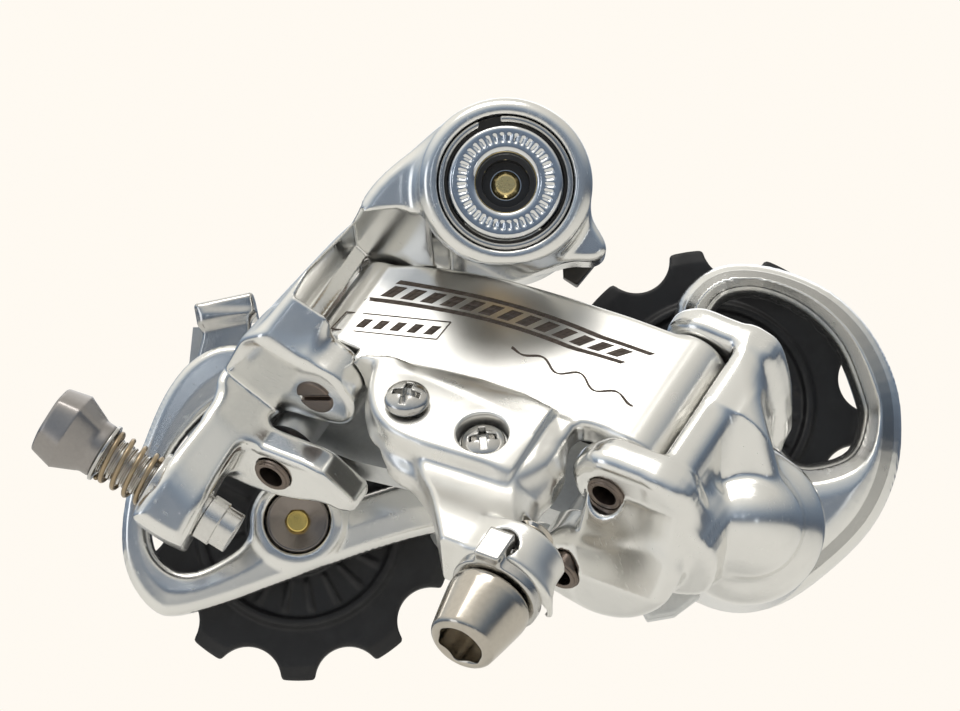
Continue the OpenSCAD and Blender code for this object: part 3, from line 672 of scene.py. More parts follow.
def make_lower_body():
    g = Grid((1.6, -32.6, -55.2), (41.8, 3.6, -1.6), 0.35)
    x, y, z = g.x, g.y, g.z
    u, v, w = g.to(LINKF)
    r = np.sqrt((x - PP[0]) ** 2 + (z - PP[1]) ** 2)
    # knuckle with a tapering end and a domed centre
    k = edge2(edge2(r - 9.9, (-18.7 + 0.75 * (r - 6.5) - y) * 0.8, 1.7), y - 2.4, 0.8)
    fl = blob([(45.9, -30.6), (47.6, -28.6), (50.2, -24.4), (54.6, -18.6), (60.2, -12.6), (62.4, -7.6),
            (61, -1), (56, 2), (50, 3.4), (45.9, 3)], u, w, (0, 9))
    top = 3.6 - 1.0 * np.maximum(0, w + 17.5) - 0.5 * np.maximum(0, u - 51.0)
    m = edge2(edge2(fl, (v - top) * 0.68, 2.2), -9.0 - v, 1.6)
    sp = blob([(45.9, -13), (45.9, 4.2), (47.4, 4.3), (50, 2.4), (51.2, -4), (50, -13)], u, v, (0, 1, 5))
    m = smin(m, slab(sp, w, -31, -1.8, 0.9), 1.6)
    ue = blob([(51, -13.4), (50.8, 1.2), (47.4, 4.4), (43, 5.0), (39.0, 5.0), (35.8, 2.6), (35.2, -1.4),
            (34.0, -5.6), (33.2, -9.6), (35.2, -13.2), (40, -13.8)], u, v)
    m = smin(m, slab(ue, w, -31, -26.5, 1.7), 1.2)
    ec = blob([(52, -9.4), (51.6, 1.4), (47.6, 4.6), (42, 5.3), (38.2, 4.9), (35.3, 1.9), (35.0, -1.2),
            (36.4, -4.2), (39, -6.6), (44, -9.4)], u, v)
    m = smin(m, slab(ec, w, -6.6, -1.8, 1.9), 1.0)
    ed = blob([(33.0, -8.2), (33.2, -12.6), (36.6, -14.6), (41.6, -15.6), (46.4, -14.2), (50.6, -10.2),
            (52.2, -5.8), (49.4, -3.2), (45.4, -3.6), (41.6, -4.6), (37.6, -4.9), (34.8, -5.8)], u, v)
    wt = -1.8 + 0.76 * np.clip(0.6 - v, 0, 9.2)
    m = smin(m, edge2(edge2(ed, (w - wt) * 0.78, 1.0), -1.9 - w, 0.4), 1.4)
    bl = blob([(43.4, -13.4), (44, -2.6), (50, -1), (55, -5), (53, -13)], u, v)
    m = smin(m, slab(bl, w, -10, -0.6, 1.6), 2.2)
    # one broad face from the upper ear to the lower one
    rf = blob([(38.4, 4.2), (43, 5.0), (47.6, 4.4), (50.8, 1.2), (51.4, -5.6), (50.0, -10.0), (46.2, -13.6),
            (41.6, -15), (38.6, -13.6), (37.8, -8), (37.6, -3)], u, v)
    m = smin(m, edge2(edge2(rf, (w - wt) * 0.78, 1.2), -6.5 - w, 0.4), 0.8)
    d = smin(k, m, 3.2)
    d = smin(d, ball(x, y, z, (30.1, -18.6, -42.1), 6.9), 0.9)
    d = np.maximum(d, -cyl(x, z, y, PP[0], PP[1], 6.6, -13, 4, 0.1))
    d = smax(d, -cyl(u, v, w, LINK, 0, 5.2, -26.4, -6.7, 0.2), 0.25)
    d = smax(d, -slab(poly([(LINK, 5.9), (LINK, -5.2), (36, -5.2), (0, -4), (0, 40), (45.8, 40),
            (45.8, 5.9)], u, v), w, -26.4, -6.7, 0.2), 0.25)
    d = smax(d, -cyl(u, v, w, LINK + OB[0], OB[1], 4.3, -26.4, -1.95, 0.2), 0.25)
    d = smax(d, -slab(poly([(LINK + OB[0], -13.6), (LINK + OB[0], -5), (20, 20), (0, 0), (0, -13.6)], u, v),
            w, -26.4, -1.95, 0.2), 0.25)
    d = smax(d, -cyl(u, v, w, LINK, 0, 2.3, -12, 3, 0.1), 0.3)
    d = smax(d, -cyl(u, v, w, LINK + OB[0], OB[1], 2.3, -12, 9, 0.1), 0.3)
    return carve("lower_body_v", g, d, KF)


LOOP = [(21.4, -15.4), (22.4, -11.4), (25.4, -8.2), (29.5, -6.9), (35.3, -7.6), (41.6, -10.4),
        (46.7, -15.4), (49.9, -21.9), (50.7, -28.3), (49.8, -34.7), (46.6, -41.1), (40.8, -46.8),
        (35, -50.6), (29, -51.6), (23, -49.4), (17, -43.8), (8, -40.4), (-3, -40.6), (-12, -42.2),
        (-22.3, -45.6), (-33.8, -49.8), (-41.6, -52.0), (-45.0, -51.2), (-47.8, -47.5), (-48.9, -42.4),
        (-48.2, -36), (-46, -29.6), (-43.5, -23.8), (-40.3, -19.6), (-36.4, -17.5), (-32.6, -17.8),
        (-31.7, -20.2), (-34.4, -23.4), (-38.6, -26.6), (-42.2, -31), (-44.6, -36.4), (-45.2, -40.4),
        (-44.5, -44.0), (-42.1, -46.2), (-38.9, -46.2), (-34.2, -43.6), (-32.7, -41.2), (-32.3, -38.2),
        (-30.2, -35.2), (-26.5, -34), (-22.8, -35.2), (-20.2, -37.0), (-9.6, -34.2), (8, -32.6), (17, -32),
        (20.4, -27), (20.2, -21)]
WIN = [(26.9, -13.1), (28.8, -11.5), (32.7, -11.3), (37.8, -13.5), (42.2, -18.0), (44.8, -24.5),
       (45.1, -27.2), (43.8, -30.9), (40.4, -32.4), (37.2, -32.3), (34.9, -29.6), (33.6, -25.7),
       (31.0, -21.2), (27.8, -17.6), (26.5, -14.9)]


def make_cage_outer():
    g = Grid((-50, 1.6, -53), (51.6, 6.6, -5.8), 0.28)
    x, y, z = g.x, g.y, g.z
    d2 = np.maximum(poly2(spline(LOOP, 4), x[:, 0, :], z[0]),
            -poly2(spline(WIN, 4), x[:, 0, :], z[0])).astype(np.float32)
    # the loop is a half-round bar, the rear arm a flatter one
    xf = x[:, 0, :]
    full = step01((xf - 10) / 12)
    wd = 1.1 + 1.9 * full
    bulge = 1.0 + 2.3 * full
    t = np.clip(1 + d2 / wd, 0, 1)
    front = PO - 1.9 - bulge * np.sqrt(np.clip(1 - t * t, 0, 1)) - 0.2 * step01(-d2 / 5)
    front = np.where(d2 > 0, PO - 1.9, front)
    d = np.maximum((front[:, None, :] - y) * 0.62, d2[:, None, :])
    d = smax(d, y - PO, 0.5)
    d = smin(d, cyl(x, z, y, PP[0], PP[1], 8.6, PO - 2.7, PO, 0.3), 0.8)
    d = smin(d, cyl(x, z, y, TP[0], TP[1], 5.9, PO - 2.9, PO, 0.5), 1.0)
    d = np.maximum(d, -cyl(x, z, y, GP[0], GP[1], 4.2, PO - 8, PO - 1.2, 0.1))
    d = smax(d, -cyl(x, z, y, TP[0], TP[1], 4.25, PO - 8, PO - 1.2, 0.1), 0.3)
    for c in (GP, TP):
        d = np.maximum(d, -disc(x, z, c[0], c[1], 2.5))
    return carve("cage_outer_v", g, d, KF)


put(make_upper_body(), ALU, "upper", "upper_body")
put(make_lower_body(), ALU, "lower", "lower_body")
put(make_cage_outer(), ALU, "cage", "cage_outer")


# ------------------------------------------------------------------ turned, bent and small parts
def rounded(prof, b, closed):
    """Profile points with corners rounded by b, and their outward normals."""
    p = np.array(prof, float)
    m = len(p)
    pts, nrm = [], []

    def out(d):
        return np.array([d[1], -d[0]])

    for i in range(m):
        if not closed and i in (0, m - 1):
            d = p[1] - p[0] if i == 0 else p[-1] - p[-2]
            pts.append(p[i])
            nrm.append(out(d / np.linalg.norm(d)))
            continue
        a, c = p[i] - p[i - 1], p[(i + 1) % m] - p[i]
        la, lc = np.linalg.norm(a), np.linalg.norm(c)
        a, c = a / la, c / lc
        t = min(b, 0.45 * la, 0.45 * lc)
        for j in range(5):
            s = j / 4
            q = (1 - s) ** 2 * (p[i] - a * t) + 2 * s * (1 - s) * p[i] + s * s * (p[i] + c * t)
            pts.append(q)
            n = out(a) * (1 - s) + out(c) * s
            nrm.append(n / max(np.linalg.norm(n), 1e-6))
    return np.array(pts), np.array(nrm)


def lathe(name, prof, fr, n=96, b=0.25, closed=False):
    """Turned part: profile points (radius, height), walked upwards on its outside."""
    p, q = rounded(prof, b, closed)
    k = len(p)
    th = np.arange(n) * 2 * math.pi / n
    cs, sn = np.cos(th)[:, None], np.sin(th)[:, None]
    v = np.stack([p[:, 0] * cs, p[:, 0] * sn, np.broadcast_to(p[:, 1], (n, k))], -1).reshape(-1, 3)
    w = np.stack([q[:, 0] * cs, q[:, 0] * sn, np.broadcast_to(q[:, 1], (n, k))], -1).reshape(-1, 3)
    i, j = np.meshgrid(np.arange(n), np.arange(k if closed else k - 1), indexing="ij")
    i2, j2 = (i + 1) % n, (j + 1) % k
    f = np.stack([i * k + j, i2 * k + j, i2 * k + j2, i * k + j2], -1).reshape(-1, 4)
    R, o = fr
    return link_obj(name, mesh_from(name, (v @ R.T + o) * 0.001, [f], w @ R.T))


def sleeve(name, r0, r1, z0, z1, fr, n, b):
    """Plain ring from r0 to r1 and z0 to z1."""
    return lathe(name, [(r0, z0), (r1, z0), (r1, z1), (r0, z1)], fr, n, b, True)


def at(fr, off):
    R, o = fr
    return (R, o + R @ np.array(off, float))


def hexagon(u, v):
    """Distance from the centre line to a hexagon's flats."""
    return np.maximum(np.maximum(np.abs(v), np.abs(0.5 * v + 0.866 * u)), np.abs(0.5 * v - 0.866 * u))


def yfr(c):
    """Frame with z along +Y and origin on the line through c = (x, z)."""
    return (YF[0], np.array([c[0], 0.0, c[1]]))


def join(name, objs):
    """One object from several, keeping their custom normals."""
    vs, fs, ns, base = [], [], [], 0
    for o in objs:
        me = o.data
        v = np.empty(len(me.vertices) * 3, np.float32)
        me.vertices.foreach_get("co", v)
        n = np.empty(len(me.loops) * 3, np.float32)
        me.corner_normals.foreach_get("vector", n)
        li = np.empty(len(me.loops), np.int32)
        me.loops.foreach_get("vertex_index", li)
        vn = np.zeros((len(me.vertices), 3), np.float32)
        vn[li] = n.reshape(-1, 3)
        sz = np.empty(len(me.polygons), np.int32)
        me.polygons.foreach_get("loop_total", sz)
        st = np.empty(len(me.polygons), np.int32)
        me.polygons.foreach_get("loop_start", st)
        for s in (3, 4):
            k = st[sz == s]
            if len(k):
                fs.append(np.stack([li[k + i] for i in range(s)], 1) + base)
        vs.append(v.reshape(-1, 3))
        ns.append(vn)
        base += len(v) // 3
        bpy.data.objects.remove(o)
    return link_obj(name, mesh_from(name, np.concatenate(vs), fs, np.concatenate(ns)))


def tube(name, path, r, n=14, fr=KF):
    """Round wire along a path of points."""
    p = np.array(path, float)
    t = np.gradient(p, axis=0)
    t /= np.linalg.norm(t, axis=1)[:, None]
    a = np.cross(t, [0.3, 0.2, 1.0])
    a /= np.linalg.norm(a, axis=1)[:, None]
    b = np.cross(t, a)
    th = np.arange(n) * 2 * math.pi / n
    nr = a[:, None, :] * np.cos(th)[None, :, None] + b[:, None, :] * np.sin(th)[None, :, None]
    v = (p[:, None, :] + nr * r).reshape(-1, 3)
    m = len(p)
    i, j = np.meshgrid(np.arange(m - 1), np.arange(n), indexing="ij")
    j2 = (j + 1) % n
    f = np.stack([i * n + j, i * n + j2, (i + 1) * n + j2, (i + 1) * n + j], -1).reshape(-1, 4)
    v = np.concatenate([v, p[:1], p[-1:]])
    nn = np.concatenate([nr.reshape(-1, 3), -t[:1], t[-1:]])
    k = np.arange(n)
    c0 = np.stack([np.full(n, m * n), (k + 1) % n, k], 1)
    c1 = np.stack([np.full(n, m * n + 1), (m - 1) * n + k, (m - 1) * n + (k + 1) % n], 1)
    R, o = fr
    return link_obj(name, mesh_from(name, (v @ R.T + o) * 0.001, [f, np.concatenate([c0, c1])], nn @ R.T))


def helix(r, z0, z1, turns, flat=0.5, n=28):
    """Coil with closed ends."""
    k = int(turns * n)
    s = np.linspace(0, 1, k)
    a = s * turns * 2 * math.pi
    e = flat / turns
    z = np.clip((s - e) / (1 - 2 * e), 0, 1)
    return np.stack([r * np.cos(a), r * np.sin(a), z0 + (z1 - z0) * z], 1)


# hanger bolt: bright head with a sunk socket, generic notches round its face
def make_bolt():
    h = 0.16
    g = Grid((-7.6, -7.6, -24.4), (7.6, 7.6, -18.9), h)
    x, y, w = g.x, g.y, g.z
    r = disc(x, y, 0, 0, 0)
    d = edge2(r - 7.1, np.abs(w + 22.2) - 1.8, 0.45)
    d = smax(d, -edge2(r - 3.75, w + 22.2, 0.3), 0.7)
    hexa = hexagon(x, y) - 2.95
    d = smax(d, -np.maximum(hexa, w + 19.4), 0.15)
    th = np.arctan2(y, x)
    tick = np.abs(((th * 40 / (2 * math.pi)) % 1.0) - 0.5) * (2 * math.pi / 40) * r - 0.17
    d = smax(d, -np.maximum(np.maximum(tick, np.abs(r - 5.5) - 0.5), w + 23.86), 0.06)
    d = np.minimum(d, edge2(r - 6.2, np.abs(w + 19.9) - 0.5, 0.1))
    head = carve("part", g, d, YF)
    shaft = [(0, -19.6), (4.2, -19.6), (4.2, -0.9), (6.2, -0.9), (6.2, 0.0), (4.5, 0.0)]
    for i in range(9):
        shaft += [(4.5, 0.2 + i), (5.0, 0.5 + i), (5.0, 0.62 + i), (4.5, 0.95 + i)]
    shaft += [(4.4, 9.0), (0, 9.0)]
    return join("hanger_bolt_v", [head, lathe("part", shaft, YF, 96, 0.08)])


put(make_bolt(), CHROME, "hanger", "hanger_bolt")
# dark ring set into the bolt's socket recess as painted shade
put(lathe("bolt_socket_v", [(3.0, -22.3), (3.7, -22.3), (3.7, -19.2), (1.95, -19.2), (1.95, -20.6),
        (2.9, -20.6)], YF, 48, 0.05, True), SOCKET_SHADE, "hanger", slot="black_steel")
put(lathe("bolt_core_v", [(0, -21.3), (1.2, -21.3), (1.75, -20.9), (1.85, -20.4), (1.85, -15.4),
        (0, -15.4)], YF, 48, 0.2), BRASS, "hanger", "bolt_core")
put(sleeve("b_washer_v", 7.2, 8.45, -22.4, -21.6, YF, 96, 0.2), BLACK, "upper", "b_washer")


def make_circlip():
    g = Grid((-8.7, -8.7, -23.6), (8.7, 8.7, -22.1), 0.15)
    d = np.abs(disc(g.x, g.y, 0, 0, 8.0)) - 0.42
    d = smax(edge2(d, np.abs(g.z + 22.85) - 0.42, 0.3), -np.maximum(np.abs(g.x + 2.0) - 1.3, g.y), 0.2)
    return carve("b_circlip_v", g, d, YF)


put(make_circlip(), STEEL, "upper", "b_circlip")
put(sleeve("b_bush_v", 4.27, 5.38, -19, -12, YF, 64, 0.15), BRONZE, "upper", "b_bush")
put(tube("b_spring_v", helix(6.6, -10.4, -3.8, 5), 0.72, 12, YF), SPRING, "hanger", "b_spring")


def make_stop():
    g = Grid((-10.6, -2.8, -10.9), (12.2, 3.6, 10.6), 0.22)
    x, y, z = g.x, g.y, g.z
    a = np.minimum(disc(x, z, 0, 0, 10.0), poly([(7.0, -2), (7.4, -9.4), (9.1, -10.4), (11.6, -7.4),
            (9.6, -4.4)], x, z))
    d = edge2(a, np.abs(y + 1.65) - 0.75, 0.2)
    t = poly([(8.0, -6.6), (9.4, -5.2), (11.5, -7.4), (9.2, -10.2), (7.4, -9.0)], x, z)
    d = np.minimum(d, edge2(t, np.abs(y - 0.4) - 2.8, 0.25))
    return carve("stop_plate_v", g, smax(d, -disc(x, z, 0, 0, 6.25), 0.15), KF)


put(make_stop(), BLACK, "hanger", "stop_plate")


# pivot pins
def make_slotted():
    g = Grid((-3, -3, -7), (3, 3, 0.6), 0.12)
    r = disc(g.x, g.y, 0, 0, 2.58)
    c, s = math.cos(math.radians(25)), math.sin(math.radians(25))
    slot = np.maximum(np.abs(-s * g.x + c * g.y) - 0.42, -g.z - 0.75)
    d = smax(edge2(r, np.maximum(g.z - 0.02, -6.6 - g.z), 0.3), -slot, 0.08)
    top = carve("part", g, d, LINKF)
    return join("pin_a_v", [top, lathe("part", [(0, -25.4), (2.58, -25.4), (2.58, -6.6), (0, -6.6)], LINKF,
            48, 0.2)])


put(make_slotted(), PIN, "upper", "pin_a")
for nm, px, py, z0, z1, body in (("pin_b", OB[0], OB[1], -25.4, 7.0, "upper"),
        ("pin_c", LINK, 0, -30.4, -1.0, "lower"), ("pin_d", LINK + OB[0], OB[1], -30.4, 6.0, "lower")):
    put(lathe(nm + "_v", [(0, z0), (2.18, z0), (2.18, z1 - 0.75), (2.48, z1 - 0.68), (2.48, z1 - 0.3),
            (2.2, z1 - 0.22), (2.2, z1), (1.62, z1), (1.45, z1 - 1.4), (1.45, z1 - 4.8), (0, z1 - 5.2)],
            at(LINKF, (px, py, 0)), 64, 0.14), PIN, body, nm)


# limit screws: pan heads with a cross recess
def make_screw(name, c, y0, top, turn):
    g = Grid((-3.2, -3.2, -0.3), (3.2, 3.2, top + 0.3), 0.11)
    x, y, w = g.x, g.y, g.z
    dome = ball(x, y, w, (0, 0, top - 4.6), 4.6)
    d = smax(disc(x, y, 0, 0, 2.85), dome, 0.5)
    d = smax(d, -w + 0.02, 0.3)
    c1, s1 = math.cos(math.radians(turn)), math.sin(math.radians(turn))
    a, b = np.abs(c1 * x + s1 * y), np.abs(-s1 * x + c1 * y)
    deep = top - 1.9 + 0.3 * np.maximum(a, b)
    cross = np.minimum(np.maximum(a - 1.75, b - 0.42), np.maximum(b - 1.75, a - 0.42))
    cross = np.minimum(cross, a + b - 1.05)
    d = smax(d, -np.maximum(cross, deep - w), 0.12)
    fr = (LINKF[0] @ YF[0], at(LINKF, (c[0], y0, c[1]))[1])
    head = carve("part", g, d, fr)
    sh = [(0, -5.5), (1.2, -5.5)]
    for i in range(9):
        sh += [(1.5, -5.2 + 0.6 * i), (1.25, -4.9 + 0.6 * i)]
    sh += [(1.5, 0.1), (0, 0.1)]
    return join(name, [head, lathe("part", sh, fr, 32, 0.08)])


put(make_screw("limit_screw_high_v", LIM[0], 6.85, 1.75, 12), STEEL, "high_screw", "limit_screw_high")
put(make_screw("limit_screw_low_v", LIM[1], 4.25, 1.5, 33), STEEL, "low_screw", "limit_screw_low")


CLAMPF = at(LINKF, (CL[0], CL[1], 0))


# cable clamp: brushed cone with a deep socket, tabbed washer
def make_clamp():
    g = Grid((-6, -6, 19.6), (6, 6, 29.8), 0.16)
    x, y, w = g.x, g.y, g.z
    r = disc(x, y, 0, 0, 0)
    rad = 5.35 - 1.2 * np.clip((w - 22.2) / 6.8, 0, 1) ** 1.1
    d = edge2((r - rad) * 0.98, np.abs(w - 24.9) - 4.3, 0.9)
    c, s = math.cos(0.3), math.sin(0.3)
    a, b = c * x + s * y, -s * x + c * y
    hexa = hexagon(a, b) - 2.75
    hexa = smax(hexa, r - 3.02, 0.1)
    d = smax(d, -np.maximum(hexa, 24.0 - w), 0.2)
    d = smax(d, -((r - 3.1) - (w - 29.2)) * 0.7, 0.1)
    top = carve("part", g, d, CLAMPF)
    sh = [(0, 9.2), (2.0, 9.2)]
    for i in range(10):
        sh += [(2.5, 9.6 + i), (2.15, 10.1 + i)]
    sh += [(2.5, 19.8), (2.5, 21), (0, 21)]
    return join("clamp_bolt_v", [top, lathe("part", sh, CLAMPF, 48, 0.1)])


def make_cable_washer():
    g = Grid((-6.4, -6.4, 14.8), (6.4, 7.2, 20.9), 0.18)
    x, y, w = g.x, g.y, g.z
    d = edge2(disc(x, y, 0, 0, 5.75), np.abs(w - 19.5) - 0.85, 0.3)
    tab = slab(poly2([(-2.2, 0.5), (-2.4, 7.0), (0.9, 7.0), (1.1, 0.5)], x, y), w, 15.6, 20.3, 0.35)
    tab = np.maximum(tab, -disc(y, w, 1.0, 15.2, 4.4))
    d = smin(d, tab, 0.7)
    return carve("cable_washer_v", g, np.maximum(d, -disc(x, y, 0, 0, 2.56)), CLAMPF)


put(make_clamp(), CLAMP, "clamp", "clamp_bolt")
put(make_cable_washer(), STEEL, "outer", "cable_washer")


# badge: a generic band of slanted bars, an outlined box of bars and a wavy rule
def make_badge():
    patches = []

    def quad(a, b, c, d, n=8):
        a, b, c, d = (np.array(q, float) for q in (a, b, c, d))
        for i in range(n):
            for j in range(2):
                s0, s1, t0, t1 = i / n, (i + 1) / n, j / 2, (j + 1) / 2
                corners = ((s0, t0), (s1, t0), (s1, t1), (s0, t1))
                patches.append([(a * (1 - s) + b * s) * (1 - t) + (d * (1 - s) + c * s) * t
                                for s, t in corners])

    def band(u0, u1, v0, v1, n=3):
        # a patch of the slanted band, in its own lengthwise and crosswise shares
        def spot(s, t):
            sag = 1.815 * math.sin(math.pi * min(s, 0.8))
            return 0.1 + 2.0 * t + s * (34.3 + 1.1 * t), -13.6 - 4.6 * t - s * (2.9 - 1.2 * t) - sag

        for i in range(n):
            a, b = u0 + (u1 - u0) * i / n, u0 + (u1 - u0) * (i + 1) / n
            quad(spot(a, v0), spot(b, v0), spot(b, v1), spot(a, v1), 1)

    band(0.0, 1.0, 0.0, 0.16, 24)
    band(0.02, 1.0, 0.84, 1.0, 24)
    for i in range(13):
        a = 0.03 + i * 0.073
        band(a, a + 0.045, 0.26, 0.74, 2)

    def box(p, w):
        m = len(p)
        for i in range(m):
            a, b = np.array(p[i]), np.array(p[(i + 1) % m])
            e = (b - a) / np.linalg.norm(b - a)
            n = np.array([-e[1], e[0]]) * w
            quad(a - n, b - n, b + n, a + n, 4)

    box([(-1.4, -7.7), (-1.0, -11.0), (11.9, -14.8), (11.6, -11.6)], 0.09)
    for i in range(5):
        x0, z0 = 1.2 + 2.1 * i, -9.2 - 0.62 * i
        quad((x0, z0), (x0 + 1.1, z0 - 0.33), (x0 + 1.6, z0 - 2.0), (x0 + 0.5, z0 - 1.7), 1)
    s = np.linspace(0, 1, 60)
    px, pz = 20.8 + 19.6 * s, -14.3 + 2.0 * s + 0.75 * np.sin(s * 22) * np.sin(math.pi * s) ** 0.5
    for i in range(59):
        w = 0.1 + 0.1 * abs(math.cos(s[i] * 22))
        j = i + 1
        quad((px[i], pz[i] - w), (px[j], pz[j] - w), (px[j], pz[j] + w), (px[i], pz[i] + w), 1)
    q = np.array(patches)
    x, z = q[..., 0], q[..., 1]
    y = plate_y(x, z) + 0.035
    v = np.stack([x, y, z], -1).reshape(-1, 3)
    R, o = LINKF
    f = np.arange(len(v)).reshape(-1, 4)
    nrm = np.cross(v[f[:, 1]] - v[f[:, 0]], v[f[:, 2]] - v[f[:, 0]])
    flip = nrm[:, 1] < 0
    f[flip] = f[flip][:, ::-1]
    v2 = v - np.array([0, 0.06, 0])
    verts = np.concatenate([v, v2])
    f2 = f[:, ::-1] + len(v)
    sides = []
    for i in range(4):
        a, b = f[:, i], f[:, (i + 1) % 4]
        sides.append(np.stack([a, a + len(v), b + len(v), b], 1))
    return link_obj("badge_v", mesh_from("badge_v", (verts @ R.T + o) * 0.001, [f, f2] + sides))


put(make_badge(), INK, "outer", "badge")


# cable adjuster
put(sleeve("adjuster_collar_v", 2.76, 4.4, -1.1, 1.78, ADJF, 96, 0.3), TURNED, "upper", "adjuster_collar")
put(sleeve("adjuster_washer_v", 2.76, 3.9, -8.35, -7.9, ADJF, 64, 0.15), STEEL, "adjuster_slider",
    "adjuster_washer")
spring = tube("adjuster_spring_v", helix(3.2, -7.45, -1.55, 4.6, 0.6), 0.34, 12, ADJF)
spring.data.materials.append(BRONZE_W)
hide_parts("adjuster_spring")
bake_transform(spring)     # the real spring lengthens as the knob backs out; here it is only baked in place and rides no body
bar = [(0.9, -9.0), (2.68, -9.0)]
for i in range(20):
    bar += [(2.68, -8.9 + 0.5 * i), (2.5, -8.65 + 0.5 * i)]
bar += [(2.68, 1.4), (2.68, 6.6), (3.0, 6.7), (3.0, 8.8), (2.7, 8.9), (2.7, 11.0), (0.9, 11.0)]
put(lathe("adjuster_barrel_v", bar, ADJF, 64, 0.07, True), TURNED, "adjuster", "adjuster_barrel")


def make_knob():
    g = Grid((-6.2, -6.2, -16.8), (6.2, 6.2, -8.0), 0.2)
    x, y, w = g.x, g.y, g.z
    r = disc(x, y, 0, 0, 0)
    hexa = hexagon(x, y)
    rad = np.interp(g.z[0, 0], [-16.4, -13.2, -9.9, -8], [4.15, 4.85, 3.5, 3.4])
    rad = rad.astype(np.float32)[None, None, :]
    d = (smax(hexa, r * 0.93, 0.5) - rad) * 0.95
    d = edge2(d, np.abs(w + 13.1) - 3.3, 0.4)
    d = smin(d, cyl(x, y, w, 0, 0, 3.6, -10.4, -8.4, 0.2), 0.3)
    d = smax(d, -np.maximum(r - 2.56, w + 10.5), 0.3)
    return carve("adjuster_knob_v", g, np.maximum(d, -(r - 0.9)), ADJF)


put(make_knob(), KNOB, "adjuster", "adjuster_knob")

# springs and bushes of the lower pivots
put(tube("link_spring_v", helix(3.2, -22.0, -16.4, 5), 0.56, 12, at(LINKF, (LINK + OB[0], OB[1], 0))),
    SPRING, "lower", "link_spring")
put(tube("p_spring_v", helix(5.6, -9.2, -2.0, 5), 0.72, 12, yfr(PP)), SPRING, "lower", "p_spring")
put(sleeve("p_bush_v", 4.06, 6.55, -12.9, -11, yfr(PP), 64, 0.15), BRONZE, "lower", "p_bush")
put(lathe("p_axle_v", [(0, -12.6), (3.98, -12.6), (3.98, 2.75), (6.0, 2.75), (6.0, 3.4), (3.98, 3.4),
        (3.98, 5.5), (0, 5.5)], yfr(PP), 64, 0.2), STEEL, "cage", "p_axle")
put(lathe("p_seal_v", [(6.05, 2.76), (9.5, 2.76), (9.75, 3.1), (9.5, 3.4), (6.05, 3.4)], yfr(PP), 96, 0.1,
        True), SEAL, "cage", "p_seal")


# pulleys
def make_pulley(name, c, ph):
    g = Grid((-20.6, -20.6, CH - 3.2), (20.6, 20.6, CH + 3.2), 0.27)
    w = g.z
    X, Y = g.x[:, :, 0], g.y[:, :, 0]
    r = np.sqrt(X ** 2 + Y ** 2)
    th = np.arctan2(-Y, X)
    half = np.interp(r, [0, 6.1, 6.5, 11.9, 12.3, 13.1, 13.6, 16.6, 18.4, 19.8],
                     [2.9, 2.9, 1.35, 1.35, 2.0, 2.0, 1.25, 1.2, 1.15, 0.62])
    # moulded ribs in the recess
    rib = np.abs(((th * 20 / (2 * math.pi)) % 1.0) - 0.5)
    half = half + 0.28 * step01((0.16 - rib) / 0.08) * step01((r - 6.8) / 0.8) * step01((11.8 - r) / 0.8)
    out = r - 20.05
    for i in range(10):
        a = math.radians(ph + 36 * i)
        gx, gy = 21.0 * math.cos(a), -21.0 * math.sin(a)
        out = smax(out, -(np.sqrt((X - gx) ** 2 + (Y - gy) ** 2) - 4.3), 0.5)
    d = edge2(out[:, :, None], (np.abs(w - CH) - half[:, :, None]) * 0.8, 0.25)
    d = np.maximum(d, -(r - 3.66)[:, :, None])
    return carve(name, g, d, yfr(c))


def cap(name, c, s):
    o = CH + s * 3.15
    a, b = o - 0.22, o + 0.22
    return lathe(name, [(3.72, a), (5.7, a), (5.75, b), (5.0, b + 0.12 * max(s, 0)), (3.72, b)], yfr(c), 64,
            0.1, True)


for nm, c, ph in (("guide", GP, 9), ("tension", TP, 0)):
    put(make_pulley(nm + "_pulley_v", c, ph), NYLON, nm, nm + "_pulley")
    put(join(nm + "_caps_v", [cap("part", c, -1), cap("part", c, 1)]), CAP, nm, nm + "_caps")
    put(sleeve(nm + "_bush_v", 2.46, 3.6, PO + 0.05, PI - 0.05, yfr(c), 48, 0.12), BRASS, "cage",
        nm + "_bush")
nuts = [sleeve("part", 2.46, 4.2, PI + 1.55, PI + 2.8, yfr(c), 48, 0.2)
        for c in (GP, TP)]
put(join("pulley_nuts_v", nuts), STEEL, "cage", "pulley_nuts")


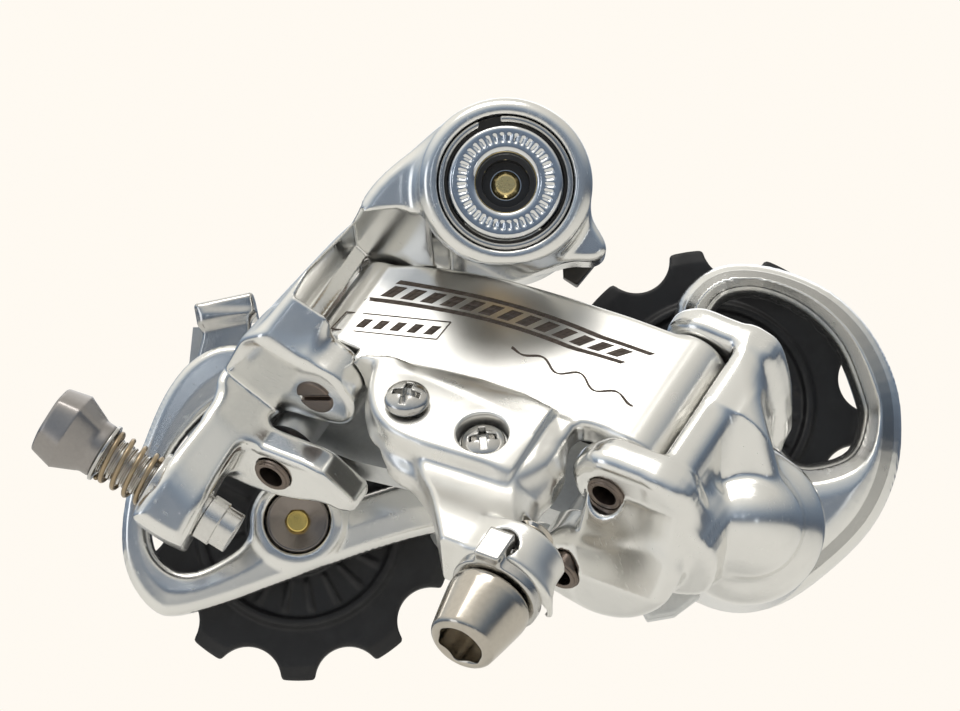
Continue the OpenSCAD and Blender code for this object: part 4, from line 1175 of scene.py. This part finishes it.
def make_pulley_bolt(name, c):
    g = Grid((-4.4, -4.4, PO - 3.3), (4.4, 4.4, PO - 0.9), 0.13)
    x, y, w = g.x, g.y, g.z
    r = disc(x, y, 0, 0, 0)
    dish = PO - 2.35 + 0.62 * np.clip((3.7 - r) / 2.2, 0, 1)
    d = edge2(r - 4.05, np.maximum((dish - w), w - PO + 1.2), 0.25)
    hexa = hexagon(x, y) - 1.3
    head = carve("part", g, smax(d, -np.maximum(hexa, w - PO + 1.45), 0.1), yfr(c))
    sh = lathe("part", [(0, PO - 1.3), (2.44, PO - 1.3), (2.44, PI + 2.6), (0, PI + 2.6)], yfr(c), 48, 0.2)
    return join(name, [head, sh])


put(make_pulley_bolt("pulley_bolt_guide_v", GP), DISC, "cage", "pulley_bolt_guide", slot="gold_bolt")
put(make_pulley_bolt("pulley_bolt_tension_v", TP), DISC, "cage", "pulley_bolt_tension", slot="gold_bolt")
for nm, c in (("guide", GP), ("tension", TP)):
    put(lathe(nm + "_bolt_core_v", [(0, PO - 2.3), (1.3, PO - 2.3), (1.45, PO - 2.1), (1.45, PO - 1.4),
            (0, PO - 1.4)], yfr(c), 36, 0.1), GOLD, "cage")


# tab that keeps the chain from jumping off behind the lower pulley
def make_tab():
    g = Grid((-42, 4.6, -22.6), (-30.6, 15.7, -9.6), 0.22)
    x, y, z = g.x, g.y, g.z
    c, s = math.cos(math.radians(12)), math.sin(math.radians(12))
    a, b = c * (x + 35.9) + s * (z + 12.5), -s * (x + 35.9) + c * (z + 12.5)
    d = edge2(edge2(np.abs(a) - 3.9, np.abs(b) - 1.55, 0.5), np.abs(y - 10.6) - 4.7, 0.8)
    w = 3.1 + 0.7 * step01((-15.5 - z) / 4)
    n = edge2(edge2(np.abs(x + 35.7) - w, np.abs(z + 17.2) - 4.4, 0.6), np.abs(y - 6.9) - 1.0, 0.5)
    return carve("chain_tab_v", g, smin(d, n, 1.2), KF)


put(make_tab(), STEEL, "cage", "chain_tab", slot=slot_of["chain_tab"])


def make_cage_stop():
    g = Grid((15.4, -5.6, -54), (25.6, 1.2, -47.4), 0.2)
    p = poly([(23.4, -48.4), (20, -49.2), (16.4, -50.4), (18, -53.2), (21.4, -52.6), (24.6, -50.2)], g.x, g.z)
    return carve("cage_stop_v", g, slab(p, g.y, -5, 0.5, 0.55), KF)


put(make_cage_stop(), SATIN, "lower", "cage_stop", slot=slot_of["cage_stop"])
